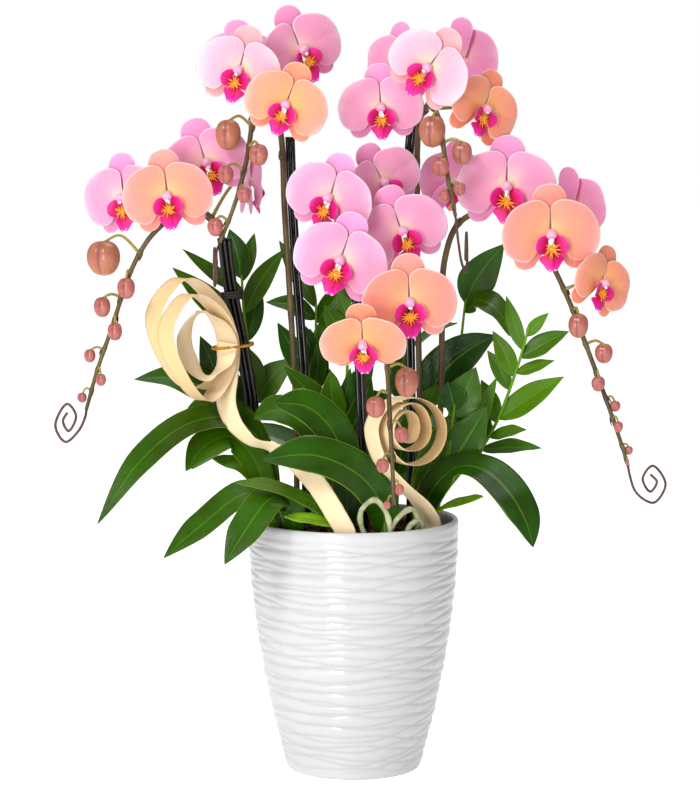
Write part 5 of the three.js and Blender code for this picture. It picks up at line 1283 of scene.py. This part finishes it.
def bark_chips(count):
    """Loose chips: one eight-cornered block, bent, scaled, turned and set down again and again."""
    corner = np.array([(x, y, z) for z in (-1, 1) for x, y in ((-1, -1), (1, -1), (1, 1), (-1, 1))], float)
    sides = np.array([(0, 3, 2, 1), (4, 5, 6, 7), (0, 1, 5, 4), (1, 2, 6, 5), (2, 3, 7, 6), (3, 0, 4, 7)])
    size = chance.uniform([1.8, 1.2, 0.6], [5.5, 3.2, 1.5], (count, 3))
    block = corner[None] * size[:, None] * chance.uniform(0.72, 1.15, (count, 8, 3))
    spin, tilt = chance.uniform(0, 2 * np.pi, count), chance.normal(0, 0.35, (count, 2))
    c, s = np.cos(spin)[:, None], np.sin(spin)[:, None]
    x, y = block[..., 0] * c - block[..., 1] * s, block[..., 0] * s + block[..., 1] * c
    z = block[..., 2] + tilt[:, :1] * x + tilt[:, 1:] * y
    radius = 87 * np.sqrt(chance.uniform(0, 1, count))
    angle = chance.uniform(0, 2 * np.pi, count)
    level = mix_level(radius) + chance.uniform(-1.2, 1.4, count)
    points = np.stack([x + (radius * np.cos(angle))[:, None], y + (radius * np.sin(angle))[:, None],
                       z + level[:, None]], -1)
    quads = sides[None] + 8 * np.arange(count)[:, None, None]
    tone = np.repeat(chance.uniform(0.1, 1, count) ** 1.5, 8)
    return {"points": points.reshape(-1, 3), "quads": quads.reshape(-1, 4), "fans": np.zeros((0, 3), int),
            "marks": {"tone": tone}, "finish": 0}


make_piece("bark_mix", [mix_body(), bark_chips(900)], [bark_finish()], "potting_mix", "potting_mix")


# Planter: white glaze over carved waves.


def wave_relief(angle, height):
    """Height of the carving: creases run round the wall in two families that cross. One sags at the front and the
    back and climbs to the right, the other is nearly level, and both wander by sums of sine waves. Between a
    crease and the one above it the wall swells like a power of a sine, more where they stand further apart."""
    base = np.linspace(2, POT_HEIGHT + 1, CREASES)[:, None]
    dice = np.random.default_rng(7)
    phase = dice.uniform(0, 2 * np.pi, (2, CREASES, 1))
    size = dice.uniform(0.5, 1.3, (4, CREASES, 1))
    even = (np.arange(CREASES) % 2 == 0)[:, None]
    front = angle + np.pi / 2 + dice.normal(0, 0.12, (CREASES, 1))
    crease = base + np.where(even, -6.5, 3.0) * size[2] * np.cos(2 * front)
    crease = crease + np.where(even, 7.0, -2.5) * size[3] * np.sin(front)
    crease = crease + 1.5 * size[0] * np.sin(3 * angle + phase[0]) + 0.8 * size[1] * np.sin(7 * angle + phase[1])
    below_foot, above_rim = (np.full((1, len(angle)), level) for level in (-9.0, POT_HEIGHT + 9.0))
    crease = np.sort(np.vstack([crease, below_foot, above_rim]), axis=0)
    below = np.clip((crease[None] <= height[:, None, None]).sum(1) - 1, 0, CREASES)
    columns = np.arange(len(angle))[None]
    low, high = crease[below, columns], crease[below + 1, columns]
    gap = np.maximum(high - low, 0.3)
    share = np.clip((height[:, None] - low) / gap, 0, 1)
    return np.sin(np.pi * share) ** 0.85 * np.minimum(gap / 8, 1.4) ** 0.85


def planter_parts():
    """Turned wall: rings up the outside with the carving, over the round rim, and down the smooth inside."""
    columns = 336
    around = 2 * np.pi * np.arange(columns) / columns
    heights = np.linspace(3, 236, 226)
    fade = smooth(heights, 4, 12) * (1 - smooth(heights, 224, 233))
    swell = wave_relief(around, heights)
    radius = pot_radius(heights)[:, None] + fade[:, None] * (1.15 * swell - 0.75)
    outer = np.stack([radius * np.cos(around), radius * np.sin(around),
                      np.broadcast_to(heights[:, None], radius.shape)], -1)

    def plain(turns):
        r, z = (np.array(v, float)[:, None] for v in zip(*turns))
        return np.stack([r * np.cos(around), r * np.sin(around), z + 0 * around], -1)

    foot = float(pot_radius(0))
    base = plain([(foot - 8, 1.2), (foot - 6, 0), (foot - 2.2, 0), (foot - 0.7, 0.8), (foot, 2)])
    rim = plain([(99.6, 237.6), (99.2, 238.8), (98.3, 239.7), (97, 240), (95.7, 239.7), (94.8, 238.8),
                 (94.2, 237.4)])
    inward = [(z, POT_WALL) for z in (230, 200, 170, 130, 90, 50, 24)] + [(15, POT_WALL + 0.5), (9, 2 * POT_WALL)]
    wall = plain([(float(pot_radius(z)) - depth, z) for z, depth in inward])
    rings = np.concatenate([base, outer, rim, wall])
    # The crease mark says where the glaze gets its painted shade: most near each crease, where the wall swells
    # least.
    crease = np.zeros(rings.shape[:2])
    crease[len(base):len(base) + len(heights)] = fade[:, None] * np.clip(1 - swell * 1.6, 0, 1)
    return skin(rings, {"crease": crease}, tips=(np.array([0, 0, 1.2]), np.array([0, 0, 9.0])))


make_piece("glazed_planter", [planter_parts()], [glaze_finish()], "white_glaze", "planter")


# Floor, light and camera, in metres. The focal length is in pixels of a picture of this height.

FLOOR_RADIUS, FLOOR_DROP = 14, 0.0004
FOCAL_LENGTH, PICTURE_HEIGHT = 2685, 788
SENSOR_WIDTH = 36
CAMERA_PLACE, CAMERA_PITCH = (-0.0034, -2.528, 0.627), 6.08


def lamp(name, place, aim, size, power):
    """Soft box at a place, in metres, turned to face the place that it lights, with its power in watts."""
    data = bpy.data.lights.new(name, "AREA")
    data.shape = "RECTANGLE"
    data.size, data.size_y = size
    data.energy = power
    light = bpy.data.objects.new(name, data)
    bpy.context.scene.collection.objects.link(light)
    light.location = place
    away = np.asarray(place, float) - np.asarray(aim, float)
    flat = math.hypot(away[0], away[1])
    light.rotation_euler = (math.atan2(flat, away[2]), 0, math.atan2(away[0], -away[1]))


def make_floor():
    """A wide flat disc under the planter, brighter to the eye than the light that it throws on the plant."""
    around = 2 * np.pi * np.arange(64) / 64
    ring = np.stack([np.cos(around), np.sin(around), 0 * around], -1)
    mesh = bpy.data.meshes.new("floor")
    mesh.from_pydata((ring * FLOOR_RADIUS - [0, 0, FLOOR_DROP]).tolist(), [], [list(range(64))])
    finish = Finish("floor", Roughness=0.7, Emission_Color=(1, 1, 1, 1))
    direct = put(finish.tree, "ShaderNodeLightPath").outputs["Is Camera Ray"]
    strength = put(finish.tree, "ShaderNodeMapRange", {0: direct, 3: 0.27, 4: 0.74}).outputs[0]
    finish.tree.links.new(strength, finish.shader.inputs["Emission Strength"])
    clouds = finish.effect(CLOUDS, Scale=2.0, Low=0.3, High=0.7)
    finish.tint = blended(finish.tree, clouds, "#fafafa", "#f7f7f7")
    mesh.materials.append(finish.done())
    floor = bpy.data.objects.new("floor", mesh)
    bpy.context.scene.collection.objects.link(floor)


make_floor()
lamp("key", (-1.4, -2.3, 2.4), (0, 0, 0.4), (1.0, 1.0), 52)
lamp("strip", (-0.85, -2.3, 0.45), (0, 0, 0.12), (0.6, 0.9), 21)
lamp("top", (0.4, 0.5, 2.6), (0, 0, 0.4), (1.4, 1.4), 22)

world = bpy.data.worlds.new("surround")
world.use_nodes = True
tree = world.node_tree
seen = put(tree, "ShaderNodeLightPath").outputs["Is Camera Ray"]
strength = put(tree, "ShaderNodeMapRange", {0: seen, 3: 0.36, 4: 1.0}).outputs[0]
tree.nodes["Background"].inputs[0].default_value = (1, 1, 1, 1)
tree.links.new(strength, tree.nodes["Background"].inputs[1])
bpy.context.scene.world = world
bpy.context.scene.view_settings.view_transform = "Standard"

view = bpy.data.cameras.new("view")
view.sensor_width = SENSOR_WIDTH
view.lens = SENSOR_WIDTH * FOCAL_LENGTH / PICTURE_HEIGHT
view.clip_start, view.clip_end = 0.1, 60
camera = bpy.data.objects.new("view", view)
bpy.context.scene.collection.objects.link(camera)
camera.location = CAMERA_PLACE
camera.rotation_euler = (math.radians(90 - CAMERA_PITCH), 0, 0)
bpy.context.scene.camera = camera
